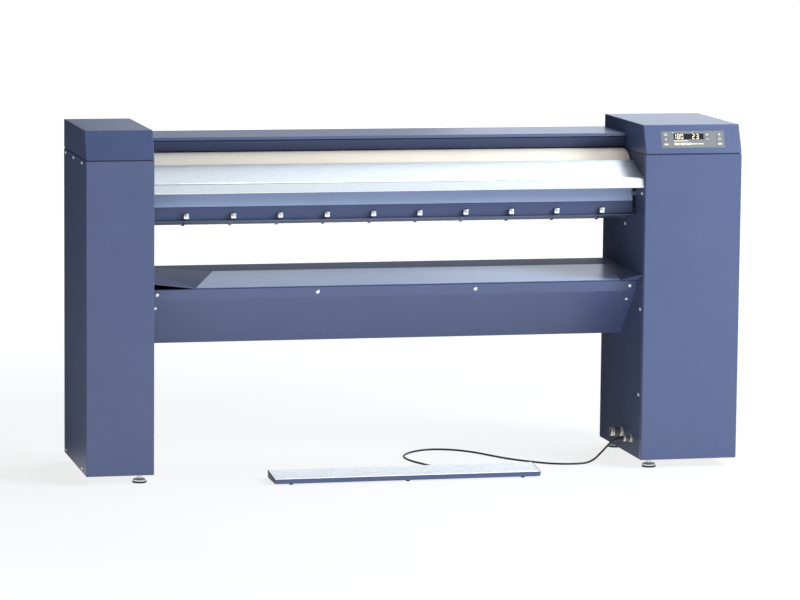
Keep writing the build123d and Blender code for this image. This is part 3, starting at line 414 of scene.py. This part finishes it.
# ---------------------------------------------------------------- camera and cable
class IRONER_OT_camera(bpy.types.Operator):
    """Stand the camera where the machine is seen from its left front"""

    bl_idname = "ironer.camera"
    bl_label = "Camera"

    def execute(self, context):
        # fitted to the machine's edges in the photograph
        place = (-2.6136, -11.1335, 1.9855)
        turn, dip, roll = (math.radians(angle) for angle in (13.137, 7.403, 0.547))
        ahead = Vector((math.sin(turn) * math.cos(dip), math.cos(turn) * math.cos(dip), -math.sin(dip)))
        level = Vector((math.cos(turn), -math.sin(turn), 0))
        above = level.cross(ahead)
        right = level * math.cos(roll) + above * math.sin(roll)
        up = above * math.cos(roll) - level * math.sin(roll)
        data = bpy.data.cameras.new("camera")
        data.sensor_width = 36
        data.lens = 174.5
        data.clip_end = 200
        camera = bpy.data.objects.new("camera", data)
        context.scene.collection.objects.link(camera)
        facing = Matrix((right, up, -ahead)).transposed().to_4x4()
        camera.matrix_world = Matrix.Translation(place) @ facing
        context.scene.camera = camera
        return {"FINISHED"}


class IRONER_OT_cable(bpy.types.Operator):
    """Lay the foot bar's cable in its loop on the floor"""

    bl_idname = "ironer.cable"
    bl_label = "Foot Bar Cable"

    def execute(self, context):
        rest = 3  # height of the cable's middle where it lies on the floor
        route = [
            (657, -84, 78), (628, -84, 78), (600, -74, 42), (565, -62, rest), (505, -76, rest),
            (440, -58, rest), (388, -10, rest), (338, 45, rest), (298, 115, rest), (262, 185, rest),
            (205, 242, rest), (135, 258, rest), (72, 218, rest), (30, 150, rest), (34, 70, rest),
            (62, 0, rest), (92, -70, rest), (101, -122, 14.3), (101, -160, 14.3),
        ]
        data = bpy.data.curves.new("foot_bar_cable", "CURVE")
        data.dimensions = "3D"
        data.bevel_depth = rest * MM
        data.bevel_resolution = 6
        data.resolution_u = 16
        data.use_fill_caps = True
        spline = data.splines.new("NURBS")
        spline.points.add(len(route) - 1)
        for point, (x, y, z) in zip(spline.points, route):
            point.co = (x * MM, y * MM, z * MM, 1)
        spline.order_u = 3
        spline.use_endpoint_u = True
        cable = bpy.data.objects.new("foot_bar_cable", data)
        context.scene.collection.objects.link(cable)
        # soft PVC sheath, extruded: black, a little glossy, with faint rings from the die
        colours = context.scene.ironer_colours
        sheath = grained("cable_sheath_pvc", list(colours.sheath), 0.42, grain=3, spread=0.15)
        data.materials.append(sheath)
        boots = [self.boot(cable, "gland_boot", sheath, 26, (2.3, 1.9, 1.2)),
                 self.boot(cable, "foot_bar_boot", sheath, 24, (1.9, 1.6, 1.2), at_end=True)]
        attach(cable, BODY)
        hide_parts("cable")
        return {"FINISHED"}

    def boot(self, cable, name, sheath, reach, widths, at_end=False):
        """A soft sleeve that tapers along a reach of the cable in millimetres, from its start or its end."""
        data = cable.data.copy()
        boot = bpy.data.objects.new(name, data)
        bpy.context.scene.collection.objects.link(boot)
        points = list(data.splines[0].points)
        if at_end:
            data.bevel_factor_start = 1 - reach / CABLE_LENGTH
            data.bevel_factor_mapping_start = "SPLINE"
            points.reverse()
        else:
            data.bevel_factor_end = reach / CABLE_LENGTH
            data.bevel_factor_mapping_end = "SPLINE"
        for point, width in zip(points, widths):
            point.radius = width
        pick(boot)
        bpy.ops.object.convert(target="MESH")
        boot = bpy.context.object
        settle(boot, name, sheath, BODY)
        return boot


# ---------------------------------------------------------------- casing and covers
class IRONER_OT_casing(bpy.types.Operator):
    """Coat the columns, caps, covers, apron and tray"""

    bl_idname = "ironer.casing"
    bl_label = "Casing"

    # the tray's floor in millimetres: how far its front and back corners lie in from the left and right
    # end of the dish, and the (y, z) of its front and back edge
    FRONT_INSETS, BACK_INSETS = (132, 53), (232, 18)
    FLOOR_FRONT, FLOOR_BACK = (-113, 562), (169, 575)

    def execute(self, context):
        colours = context.scene.ironer_colours
        blue, dark = list(colours.casing), list(colours.guard)
        dress(powder_coat("powder_coat_blue", blue), "left_front_panel", "right_front_panel", "outer_panels",
              "back_panels", "left_cap", "right_cap", "hood_cover", "apron", "tray_front", "tray_back",
              "rear_cover", "foot_bar_base")
        # the finger guard gets a darker coat, and the cap frames get it as painted shade in the recessed gap
        # under the caps
        dress(powder_coat("powder_coat_dark_blue_and_painted_shade", dark), "finger_guard", "cap_frames")
        # the panels beside the gap get the darker coat as painted shade, where the machine shades them; they
        # and the dish mirror less, so they get a matt coat
        dress(powder_coat("powder_coat_painted_shade_matt", dark, 0.5), "inner_panels")
        self.dish(powder_coat("powder_coat_blue_matt", blue, 0.55))
        # painted highlight: the apron's upper face and the tray's floor are shown lighter than the casing,
        # where light falls on them, by a thin sheet in a lighter tone of the coat laid on each
        painted_highlight = powder_coat("powder_coat_painted_highlight", list(colours.painted_highlight))
        face = [(-72.8, 841), (-84.5, 796.6), (-85.1, 796.4), (-73.4, 841.2)]
        painted_highlight_strip = profile_bar(face, -773, 674, 0.2)
        settle(painted_highlight_strip, "apron_painted_highlight_sheet", painted_highlight, BODY, smooth=0)
        settle(self.painted_highlight_floor_sheet(), "tray_floor_painted_highlight_sheet", painted_highlight, BODY, smooth=0)
        return {"FINISHED"}

    def painted_highlight_floor_sheet(self):
        """A thin sheet on the dish's floor, 1 mm in from its sides, whose lighter coat is a painted
        highlight; its rounded edges catch the light.
        """
        low, high = (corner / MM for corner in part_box("tray_dish"))
        front, back, margin = (-112.5, 562.1), (168, 575.1), 1
        corners = ((low.x + (self.FRONT_INSETS[0] + margin), *front),
                   (high.x - (self.FRONT_INSETS[1] + margin), *front),
                   (high.x - (self.BACK_INSETS[1] + margin), *back),
                   (low.x + (self.BACK_INSETS[0] + margin), *back))
        made = slab([Vector(corner) * MM for corner in corners], (0, 0, 0.9 * MM))
        rounded(made, 0.4)
        return made

    def dish(self, coat):
        """Fold the tray's dish: a floor, a back and two side slopes, and an ear at each front corner."""
        low, high = (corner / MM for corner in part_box("tray_dish"))
        left, right, front, back = low.x, high.x, self.FLOOR_FRONT, self.FLOOR_BACK
        rim_front, rim_back = (-169, 584), (231, 588)
        corners = {(-1, -1): (left + self.FRONT_INSETS[0], *front),
                   (1, -1): (right - self.FRONT_INSETS[1], *front),
                   (1, 1): (right - self.BACK_INSETS[1], *back),
                   (-1, 1): (left + self.BACK_INSETS[0], *back)}
        # a plane from rim to rim, 400 mm deep, gets an inner face, whose corners go to the floor's
        pick()
        middle = Vector(((left + right) / 2 * MM, 0.031, 0.586))
        bpy.ops.mesh.primitive_plane_add(size=1, location=middle)
        made = bpy.context.object
        made.scale = ((right - left) * MM, 0.4, 1)
        freeze()
        bpy.ops.object.mode_set(mode="EDIT")
        bpy.ops.mesh.select_all(action="SELECT")
        bpy.ops.mesh.inset(thickness=0.05)
        work = bmesh.from_edit_mesh(made.data)
        for vert in work.verts:
            side = (1 if vert.co.x > middle.x else -1, 1 if vert.co.y > middle.y else -1)
            if vert.select:
                vert.co = Vector(corners[side]) * MM
            else:
                vert.co.z = (rim_back if side[1] > 0 else rim_front)[1] * MM
        bmesh.update_edit_mesh(made.data)
        # the front slope goes, and a triangular ear stands at each of its ends, in the slope's own plane
        slope_end, ear_sheet = -0.13, Vector((0, -0.73, -1.86)) * MM
        edit_select("FACE", lambda place, face: place.y < slope_end)
        bpy.ops.mesh.delete(type="FACE")
        bpy.ops.object.mode_set(mode="OBJECT")
        ears = []
        for end, reach in ((left, self.FRONT_INSETS[0]), (right, -self.FRONT_INSETS[1])):
            triangle = ((end, *rim_front), (end, *front), (end + reach, *front))
            ears.append(slab([Vector(point) * MM for point in triangle], ear_sheet))
        outward(made)
        walled(made, 2 * MM)
        apply_all(made)
        creases = made.modifiers.new("folds", "BEVEL")
        creases.width = 0.6 * MM
        creases.segments = 1
        creases.limit_method = "ANGLE"
        creases.angle_limit = math.radians(4)
        apply_all(made)
        made = joined([made, *ears])
        settle(made, "folded_tray_dish", coat, BODY, ["tray_dish"], smooth=0)


class IRONER_OT_metalwork(bpy.types.Operator):
    """Finish the bare metal: table, frames, shafts, trough and the drive inside the columns"""

    bl_idname = "ironer.metalwork"
    bl_label = "Metalwork"

    def execute(self, context):
        colours = context.scene.ironer_colours
        dress(brushed_steel("stainless_sheet_brushed", list(colours.table), 0.3),
              "feed_table", "stripper_bar")
        dress(brushed_steel("stainless_bracket_brushed", shade("8b93a3"), 0.3), "table_brackets")
        dress(galvanised("galvanised_plate", shade("9aa0a5")), "side_frames", "base_plates", "traverses",
              "trough_arms")
        bright = grained("zinc_plated_steel", shade("c9ccd0"), 0.25, grain=1.2, spread=0.05, Metallic=1.0)
        dress(bright, "roller_ends", "press_shaft", "press_cams", "foot_spindles", "treadle_springs")
        dress(grained("heating_rod_steel", shade("6d6a66"), 0.45, grain=2, Metallic=1.0), "heating_rods")
        dress(brushed_steel("drawn_tube_steel", shade("8a8c8f"), 0.4), "roller_tube")
        oiled = grained("oiled_chain_steel", shade("4b4a48"), 0.3, grain=1.5, spread=0.15, Metallic=1.0)
        dress(oiled, "roller_sprocket", "motor_sprocket", "drive_chain")
        dress(grained("cast_iron_enamelled", shade("3b3f42"), 0.5, grain=3, depth=0.0004, IOR=1.5),
              "bearings")
        dress(brushed_steel("trough_aluminium_polished", shade("d5d7d8"), 0.2), "heated_trough")
        dress(grained("lagging_foil", shade("c3c6c8"), 0.35, grain=12, depth=0.0006, Metallic=1.0),
              "trough_jacket")
        dress(grained("motor_enamel_grey", shade("6b7075"), 0.5, grain=2.5, depth=0.0003, IOR=1.5),
              "drive_motor", "press_motor")
        return {"FINISHED"}


# ---------------------------------------------------------------- roller
class IRONER_OT_roller(bpy.types.Operator):
    """Wrap the roller in its felt padding and its woven cover"""

    bl_idname = "ironer.roller"
    bl_label = "Roller Cover"

    def execute(self, context):
        low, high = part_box("roller_cloth")
        centre = (low + high) / 2
        radius, length = (high.z - low.z) / 2, high.x - low.x
        padding_low, padding_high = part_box("roller_padding")
        pad_radius = (padding_high.z - padding_low.z) / 2
        pad_length = padding_high.x - padding_low.x
        felt_wall, felt_tuck, cloth_wall, cloth_tuck = 11.2 * MM, 6 * MM, 1.2 * MM, 10 * MM
        felt = self.tube(centre, pad_radius, pad_length, felt_wall, felt_tuck)
        needled = grained("needled_felt", shade("d9cfb8"), 0.95, grain=3, depth=0.001, spread=0.12,
                          Sheen_Weight=0.4)
        settle(felt, "felt_padding", needled, "roller", ["roller_padding"], 50)
        cover = self.tube(centre, radius, length, cloth_wall, cloth_tuck)
        cloth = woven_cover("aramid_cover_cloth", list(context.scene.ironer_colours.cover))
        settle(cover, "woven_cover", cloth, "roller", ["roller_cloth"], 50)
        return {"FINISHED"}

    def tube(self, centre, radius, length, wall, tuck):
        """An open tube whose ends are drawn in by a tuck, with a wall on its inner side."""
        lip = 2 * MM
        pick()
        bpy.ops.mesh.primitive_cylinder_add(vertices=128, radius=radius, depth=length - 2 * lip,
                                            end_fill_type="NOTHING", location=centre, rotation=ALONG_X)
        made = bpy.context.object
        freeze()
        bpy.ops.object.mode_set(mode="EDIT")
        # each end turns over its lip in two steps, along and inwards, and then goes straight in
        for way in (-1, 1):
            end = centre.x + way * (length / 2 - lip)
            for step, inwards in ((1.4 * MM, 0.6 * MM), (0.6 * MM, 1.4 * MM), (0, tuck - lip)):
                edit_select("EDGE", lambda middle, edge: edge.is_boundary and abs(middle.x - end) < 0.0001)
                bpy.ops.mesh.extrude_region_move(TRANSFORM_OT_translate={"value": (way * step, 0, 0)})
                work = bmesh.from_edit_mesh(made.data)
                for vert in work.verts:
                    if vert.select:
                        out = Vector((0, vert.co.y - centre.y, vert.co.z - centre.z))
                        vert.co -= out.normalized() * inwards
                bmesh.update_edit_mesh(made.data)
                end += way * step
        bpy.ops.object.mode_set(mode="OBJECT")
        walled(made, wall)
        return made


# ---------------------------------------------------------------- lights, floor and world
class IRONER_OT_stage(bpy.types.Operator):
    """Lay the pale floor and hang the soft lamps"""

    bl_idname = "ironer.stage"
    bl_label = "Floor and Lamps"

    def execute(self, context):
        pick()
        bpy.ops.mesh.primitive_plane_add(size=160, location=(0, 0, 0))
        floor = context.object
        floor.name = "floor"
        grey = (0.22, 0.22, 0.22)
        made, tree, shader = new_finish("floor_white_matt", grey, 1.0, Specular_IOR_Level=0.0)
        # the camera sees it white, a little less so near the machine, where its shadow lies;
        # the machine sees it lit in front and dim behind, as a sweep under a front lamp is
        path = put(tree, "ShaderNodeLightPath")
        place = put(tree, "ShaderNodeTexCoord")
        away = put(tree, "ShaderNodeVectorMath", {0: place.outputs["Object"]}, operation="LENGTH")
        white = ramp(tree, away.outputs["Value"], 1.5, 5.0, 0.8, 1.0)
        apart = put(tree, "ShaderNodeSeparateXYZ", {"Vector": place.outputs["Object"]})
        lit = ramp(tree, apart.outputs["Y"], 0.5, -0.4, 0.0, 1.25)
        lift = put(tree, "ShaderNodeMix", {"Factor": path.outputs["Is Camera Ray"],
                                           "A": lit.outputs["Result"], "B": white.outputs["Result"]})
        glow = put(tree, "ShaderNodeEmission", {"Strength": lift.outputs["Result"]})
        both = put(tree, "ShaderNodeAddShader", {0: shader.outputs["BSDF"], 1: glow.outputs["Emission"]})
        tree.links.new(both.outputs["Shader"], tree.nodes["Material Output"].inputs["Surface"])
        floor.data.materials.append(made)

        # the room is dim to all but the camera, so that a coat seen aslant keeps its colour
        world = bpy.data.worlds.new("studio")
        context.scene.world = world
        world.use_nodes = True
        tree = world.node_tree
        ground = tree.nodes["Background"]
        ground.inputs["Color"].default_value = (1, 1, 1, 1)
        path = put(tree, "ShaderNodeLightPath")
        seen = put(tree, "ShaderNodeMath", {0: path.outputs["Is Camera Ray"],
                                            1: path.outputs["Is Transmission Ray"]}, operation="MAXIMUM")
        level = ramp(tree, seen.outputs["Value"], 0, 1, 0.08, 1.0)
        tree.links.new(level.outputs["Result"], ground.inputs["Strength"])

        # a lamp at the right front, one overhead, a pale screen in front that the table's lip mirrors,
        # a pale wall far behind that table and tray mirror, its lower part for the right cap's top,
        # and a weak lamp at the left
        for name, place, size, power in (
                ("right_front", (3.4, -2.5, 2.5), (1.6, 1.3), 165),
                ("overhead", (1.5, 0.2, 4.5), (5.0, 3.0), 140),
                ("screen", (3.4, -9.0, 4.4), (7.0, 4.6), 135),
                ("wall", (6.6, 12.0, 8.9), (14.0, 11.0), 600),
                ("low_wall", (5.6, 12.0, 2.3), (5.0, 1.8), 60),
                ("left", (-4.4, -0.6, 1.0), (1.5, 1.5), 8)):
            self.lamp(name, place, size, power)
        context.scene.view_settings.view_transform = "Standard"
        return {"FINISHED"}

    def lamp(self, name, place, size, power):
        """A plain area lamp in a cool white, aimed at the machine's middle."""
        aim, cool_white = Vector((0, 0, 0.6)), (0.88, 0.94, 1.0)
        data = bpy.data.lights.new(name, "AREA")
        data.shape = "RECTANGLE"
        data.size, data.size_y = size
        data.energy = power
        data.color = cool_white
        lamp = bpy.data.objects.new(name, data)
        bpy.context.scene.collection.objects.link(lamp)
        lamp.location = place
        lamp.visible_camera = False
        lamp.rotation_mode = "QUATERNION"
        lamp.rotation_quaternion = (aim - Vector(place)).to_track_quat("-Z", "Y")


# ---------------------------------------------------------------- feet, glands, foot bar, controls
class IRONER_OT_fittings(bpy.types.Operator):
    """Finish the feet and the foot bar's switch"""

    bl_idname = "ironer.fittings"
    bl_label = "Fittings"

    def execute(self, context):
        dress(grained("moulded_rubber", shade("1d1d1f"), 0.75, grain=1.5, spread=0.2, IOR=1.5),
              "rubber_feet")
        dress(grained("switch_case_plastic", shade("1c1c20"), 0.5, grain=1, IOR=1.46), "foot_switch")
        return {"FINISHED"}


class IRONER_OT_screws(bpy.types.Operator):
    """Set lens-head screws in the columns and in the tray's front"""

    bl_idname = "ironer.screws"
    bl_label = "Screws"

    def execute(self, context):
        # seats in millimetres, each with the way out of its sheet: (y, z) on the columns' inner and outer
        # sides, then along X on the upper and the lower slope of the tray's front
        inner = [(-147, 824), (24, 716), (-148, 478), (-147, 221)]
        outer = [(233, 931), (71, 931), (-96, 931), (228, 40), (-95, 40)]
        tray_x = (-764.5, -287.8, 188.8, 665.5)
        seats = [((x, y, z), (way, 0, 0)) for x, way in ((-784, 1), (685, -1)) for y, z in inner]
        seats += [((x, y, z), (way, 0, 0)) for x, way in ((-982, -1), (982, 1)) for y, z in outer]
        seats += [((x, -106.5, 543.35), (0, -0.929, -0.369)) for x in tray_x]
        seats += [((x, -71.4, 499), (0, -0.7, -0.714)) for x in (tray_x[0], tray_x[-1])]
        head = [(-9, 0), (-9, 2.5), (0, 2.5), (0, 6), (0.9, 5.9), (2.1, 4.8), (2.7, 3.2), (2.8, 2.1),
                (1.4, 1.9), (1.4, 0)]
        pieces = [turned(head, Vector(place) * MM, out, 20) for place, out in seats]
        bright = grained("zinc_plated_screw", shade("f2f3f5"), 0.4, grain=1.2, spread=0.05, Metallic=1.0)
        settle(joined(pieces), "lens_head_screws", bright, BODY, ["screws"])
        return {"FINISHED"}


class IRONER_OT_fingers(bpy.types.Operator):
    """Fit the ten outlet fingers below the feed table"""

    bl_idname = "ironer.fingers"
    bl_label = "Outlet Fingers"

    def execute(self, context):
        first, pitch, count = -676.35, 139.3, 10
        holder_half, blade_half, holder_front = 7.5, 4, -97
        holder = box((first - holder_half, holder_front, 762.5), (first + holder_half, -84.2, 777.5), 1.4)
        blade = profile_bar([(-88, 773.5), (-66.7, 773.5), (-28, 736), (-31, 735), (-36, 736),
                             (-73.7, 766.5), (-88, 766.5)], first - blade_half, first + blade_half, 0.9)
        clamp = turned([(-1, 0), (-1, 3.6), (0.8, 3.6), (1.5, 2.9), (1.7, 1.7), (0.6, 1.5), (0.6, 0)],
                       Vector((first, holder_front, 770)) * MM, (0, -1, 0), 24)
        finger = joined([holder, blade, clamp])
        pieces = [finger] + [copied(finger, (index * pitch * MM, 0, 0)) for index in range(1, count)]
        # nickel-plated die-cast zinc: nearly white where lamps meet it
        plated = grained("nickel_plated_zinc", shade("e4e5e8"), 0.28, grain=1.2, spread=0.05, Metallic=1.0)
        settle(joined(pieces), "clamped_outlet_fingers", plated, BODY, ["outlet_fingers"])
        return {"FINISHED"}


class IRONER_OT_glands(bpy.types.Operator):
    """Fit both cable glands on the right column's inner side"""

    bl_idname = "ironer.glands"
    bl_label = "Cable Glands"

    def execute(self, context):
        out = (-1, 0, 0)
        supply, switch = (0.012, 0.084), (-0.084, 0.078)
        at_supply, at_switch = (RIGHT_WALL, *supply), (RIGHT_WALL, *switch)
        # profiles are (along, radius) in millimetres from the column's side
        ridges = [(10 + step * 1.8 + part, radius) for step in range(10)
                  for part, radius in ((0.0, 12.3), (0.4, 12.8), (1.1, 12.8), (1.5, 12.3))]
        sleeve = turned([(-16, 7), (-16, 12.5), (9, 12.5), *ridges, (28.5, 11), (40, 11), (40, 7), (-16, 7)],
                        at_supply, out, 40)
        rings = [turned([(start, 9), (start, radius - 0.5), (start + 0.5, radius), (end - 0.5, radius),
                         (end, radius - 0.5), (end, 9), (start, 9)], at_supply, out, 40)
                 for start, end, radius in ((28.5, 33, 13.6), (35, 40, 13.1))]
        metal = joined([hexagon(28, 0, 10, supply), hexagon(30, -13, -7, supply), *rings])
        bore = turned([(-20, 0), (-20, 7.2), (45, 7.2), (45, 0)], at_supply, out, 32)
        opening = metal.modifiers.new("cable's way", "BOOLEAN")
        opening.object = bore
        opening.solver = "EXACT"
        apply_all(metal)
        bpy.data.objects.remove(bore)
        grip = [(along, 9.6 if along % 2 else 10.1) for along in range(7, 16)]
        dome = turned([(-16, 0), (-16, 8), (7, 8), *grip, (19, 9.6), (20, 8.6), (20, 7), (28, 7), (28, 0)],
                      at_switch, out, 40)
        collar = turned([(21, 6), (21, 8.3), (21.5, 8.8), (25.5, 8.8), (26, 8.3), (26, 6), (21, 6)],
                        at_switch, out, 40)
        small = joined([hexagon(22, 0, 7, switch), hexagon(24, -13, -7, switch), collar])
        body = grained("gland_polyamide", shade("6e655e"), 0.45, grain=1, IOR=1.53)
        nut = grained("nickel_plated_brass_satin", shade("f6f4ee"), 0.45, grain=1.5, spread=0.04,
                      Metallic=0.7)
        settle(sleeve, "supply_gland_sleeve", body, BODY, ["supply_gland"])
        settle(metal, "supply_gland_nuts", nut, BODY, ["supply_gland"])
        settle(dome, "switch_gland_dome", body, BODY, ["switch_gland"])
        settle(small, "switch_gland_nuts", nut, BODY, ["switch_gland"])
        return {"FINISHED"}


class IRONER_OT_foot_bar(bpy.types.Operator):
    """Fit the foot bar's ribbed tread and its dark ends"""

    bl_idname = "ironer.foot_bar"
    bl_label = "Foot Bar"

    def execute(self, context):
        low, high = (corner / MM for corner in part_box("foot_bar_treadle"))
        front, back, rise, sheet = low.y, high.y, 10, 2
        left, right = low.x + sheet, high.x - sheet
        pitch = context.scene.ironer_sizes.rib / MM

        def top(y):
            """Height of the tread's sloping top."""
            return high.z - rise + (y - front) / (back - front) * rise

        # grooves from 5 mm behind the front edge to 6 mm before the back edge, 1 mm deep
        outline = [(front, top(front) - sheet * 0.8), (front, top(front) - 0.5), (front + 0.5, top(front))]
        groove = front + 5
        while groove < back - 6:
            outline += [(groove + across, top(groove) - down)
                        for across, down in ((0, 0), (0.5, 1), (2.1, 1), (2.6, 0))]
            groove += pitch
        outline += [(back - 0.5, top(back)), (back, top(back) - 0.5), (back, top(back) - sheet)]
        tread = profile_bar(outline, left, right)
        # the skirt at the back has a notch, through which the cable goes
        skirt_foot, notch_left, notch_right, notch_top = 14, 89, 113, 25.3
        skirts = [box((x1, back - sheet, foot), (x2, back, top(back) - sheet)) for x1, x2, foot in (
            (left, notch_left, skirt_foot), (notch_right, right, skirt_foot),
            (notch_left, notch_right, notch_top))]
        anodised = brushed_steel("tread_aluminium_anodised", list(context.scene.ironer_colours.tread), 0.3)
        settle(joined([tread, *skirts]), "ribbed_tread", anodised, "treadle",
               ["foot_bar_treadle"])
        # two end plates and, in them, the two pins that the treadle turns on
        side = [(front, low.z), (front, top(front)), (back, top(back)), (back, low.z)]
        ends = [profile_bar(side, x1, x2, 0.5) for x1, x2 in ((low.x, left), (right, high.x))]
        pin_place = (0, (front + 6) * MM, 0.014)
        ends += [turned([(x1, 0), (x1, 2), (x2, 2), (x2, 0)], pin_place, (1, 0, 0), 16)
                 for x1, x2 in ((low.x + 1, low.x + 7.5), (high.x - 7.5, high.x - 1))]
        dark = grained("tread_end_polyamide", shade("262a35"), 0.5, grain=1, IOR=1.53)
        settle(joined(ends), "tread_ends", dark, "treadle", ["foot_bar_treadle"])
        return {"FINISHED"}


class IRONER_OT_controls(bpy.types.Operator):
    """Finish the panel and its keys, light the display and print the signs"""

    bl_idname = "ironer.controls"
    bl_label = "Controls"

    def execute(self, context):
        colours = context.scene.ironer_colours
        foil = grained("printed_polyester_foil", list(colours.foil), 0.4, grain=1, IOR=1.6)
        keys = [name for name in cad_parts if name.startswith("key_")]
        dress(foil, "control_fascia", *keys)
        dress(grained("tinted_acrylic", shade("25272c"), 0.15, grain=20, depth=0.00005, IOR=1.49),
              "display_window")
        dress(grained("lacquered_board", shade("1f5a36"), 0.4, grain=4, IOR=1.5), "control_board")

        # figures, bars and signs are placed in millimetres from the panel's middle
        lit, _, shader = new_finish("lit_segments", list(colours.digits), 0.5)
        shader.inputs["Emission Color"].default_value = (*colours.digits, 1)
        shader.inputs["Emission Strength"].default_value = 0.7
        segments = self.digit("1", -55) + self.digit("8", -44) + self.digit("0", -33)
        segments += self.digit("2", 3) + self.digit("3", 15) + [self.mark(12, 2.6, 1.8, 1.8)]
        settle(joined(segments), "display_digits", lit, BODY, smooth=0)

        ink = grained("screen_print_white", list(colours.legend), 0.6, grain=1, IOR=1.5)
        above_foil = 0.4
        bars = [self.mark(-37, -4.5, 44, 3, above_foil)]
        bars += [self.mark(-50 + index * 18.4, -14, 16.4, 7 if index < 3 else 4, above_foil)
                 for index in range(5)]
        bars += [self.mark(x, 21, 3, 2.4, above_foil) for x in (-60, 0)]
        settle(joined(bars), "panel_legend", ink, BODY, smooth=0)

        signs = {
            "left_1": (-83, 15, "lines"), "left_2": (-83, 0, "plus"), "left_3": (-83, -15, "block"),
            "middle_1": (45, 15, "arrow"), "middle_2": (45, 0, "minus"),
            "right_1": (83, 15, "arrow"), "right_2": (83, 0, "ring"), "right_3": (83, -15, "block"),
        }
        for name, (x, y, sign) in signs.items():
            settle(joined(self.sign(sign, x, y)), f"sign_{name}", ink, f"key_{name}_body",
                   smooth=0)
        return {"FINISHED"}

    def mark(self, x, y, width, height, out=0.1):
        """A print 0.15 mm thick on the panel, its middle at a place in the panel's own frame."""
        return box((x - width / 2, y - height / 2, out), (x + width / 2, y + height / 2, out + 0.15),
                   frame_of=PANEL)

    def digit(self, figure, x):
        """A figure of upright and level bars, 8 by 14 mm, on the display."""
        up, level = (1.6, 5.4), (5, 1.6)
        parts = {"a": (0, 7, *level), "b": (3.2, 3.6, *up), "c": (3.2, -3.6, *up), "d": (0, -7, *level),
                 "e": (-3.2, -3.6, *up), "f": (-3.2, 3.6, *up), "g": (0, 0, *level)}
        lit = {"0": "abcdef", "1": "bc", "2": "abged", "3": "abgcd", "8": "abcdefg"}[figure]
        return [self.mark(x + dx, 9 + dy, width, height)
                for dx, dy, width, height in (parts[name] for name in lit)]

    def sign(self, sign, x, y):
        """The simple sign on a key, out at the key's face."""
        out = 0.9
        bars = {"plus": [(0, 8, 1.6), (0, 1.6, 8)], "minus": [(0, 9, 1.8)],
                "lines": [(step, 11, 1.2) for step in (-3, 0, 3)], "block": [(0, 12, 5.5)]}
        if sign in bars:
            return [self.mark(x, y + step, width, height, out) for step, width, height in bars[sign]]
        pick()
        if sign == "arrow":
            bpy.ops.mesh.primitive_cylinder_add(vertices=3, radius=4.6 * MM, depth=0.15 * MM,
                                                location=(x * MM, (y - 0.8) * MM, (out + 0.075) * MM))
        else:
            bpy.ops.mesh.primitive_torus_add(major_radius=3.6 * MM, minor_radius=0.75 * MM,
                                             major_segments=32, minor_segments=8,
                                             location=(x * MM, y * MM, out * MM))
        made = bpy.context.object
        freeze()
        if sign == "ring":
            # pressed flat
            made.scale.z = 0.2
            made.location.z = out * MM * 0.8
            freeze()
        made.matrix_world = PANEL
        apply_all(made)
        return [made]


# ---------------------------------------------------------------- panel in the sidebar
class IRONER_PT_looks(bpy.types.Panel):
    """Colours, sizes and steps of the ironer's looks"""

    bl_idname = "IRONER_PT_looks"
    bl_label = "Flatwork Ironer"
    bl_space_type = "VIEW_3D"
    bl_region_type = "UI"
    bl_category = "Ironer"

    def draw(self, context):
        for group in (context.scene.ironer_colours, context.scene.ironer_sizes):
            column = self.layout.column(align=True)
            for name in group.bl_rna.properties.keys():
                if name not in ("rna_type", "name"):
                    column.prop(group, name)
        column = self.layout.column(align=True)
        for step in steps:
            column.operator(step.bl_idname)


steps = [IRONER_OT_camera, IRONER_OT_cable, IRONER_OT_stage, IRONER_OT_casing, IRONER_OT_metalwork,
         IRONER_OT_roller, IRONER_OT_fittings, IRONER_OT_screws, IRONER_OT_fingers, IRONER_OT_glands,
         IRONER_OT_foot_bar, IRONER_OT_controls]
classes = [IronerColours, IronerSizes, *steps, IRONER_PT_looks]


def register():
    for cls in classes:
        bpy.utils.register_class(cls)
    bpy.types.Scene.ironer_colours = bpy.props.PointerProperty(type=IronerColours)
    bpy.types.Scene.ironer_sizes = bpy.props.PointerProperty(type=IronerSizes)


def unregister():
    del bpy.types.Scene.ironer_sizes
    del bpy.types.Scene.ironer_colours
    for cls in reversed(classes):
        bpy.utils.unregister_class(cls)


def main():
    register()
    for step in steps:
        group, name = step.bl_idname.split(".")
        getattr(getattr(bpy.ops, group), name)()


if __name__ == "__main__":
    main()
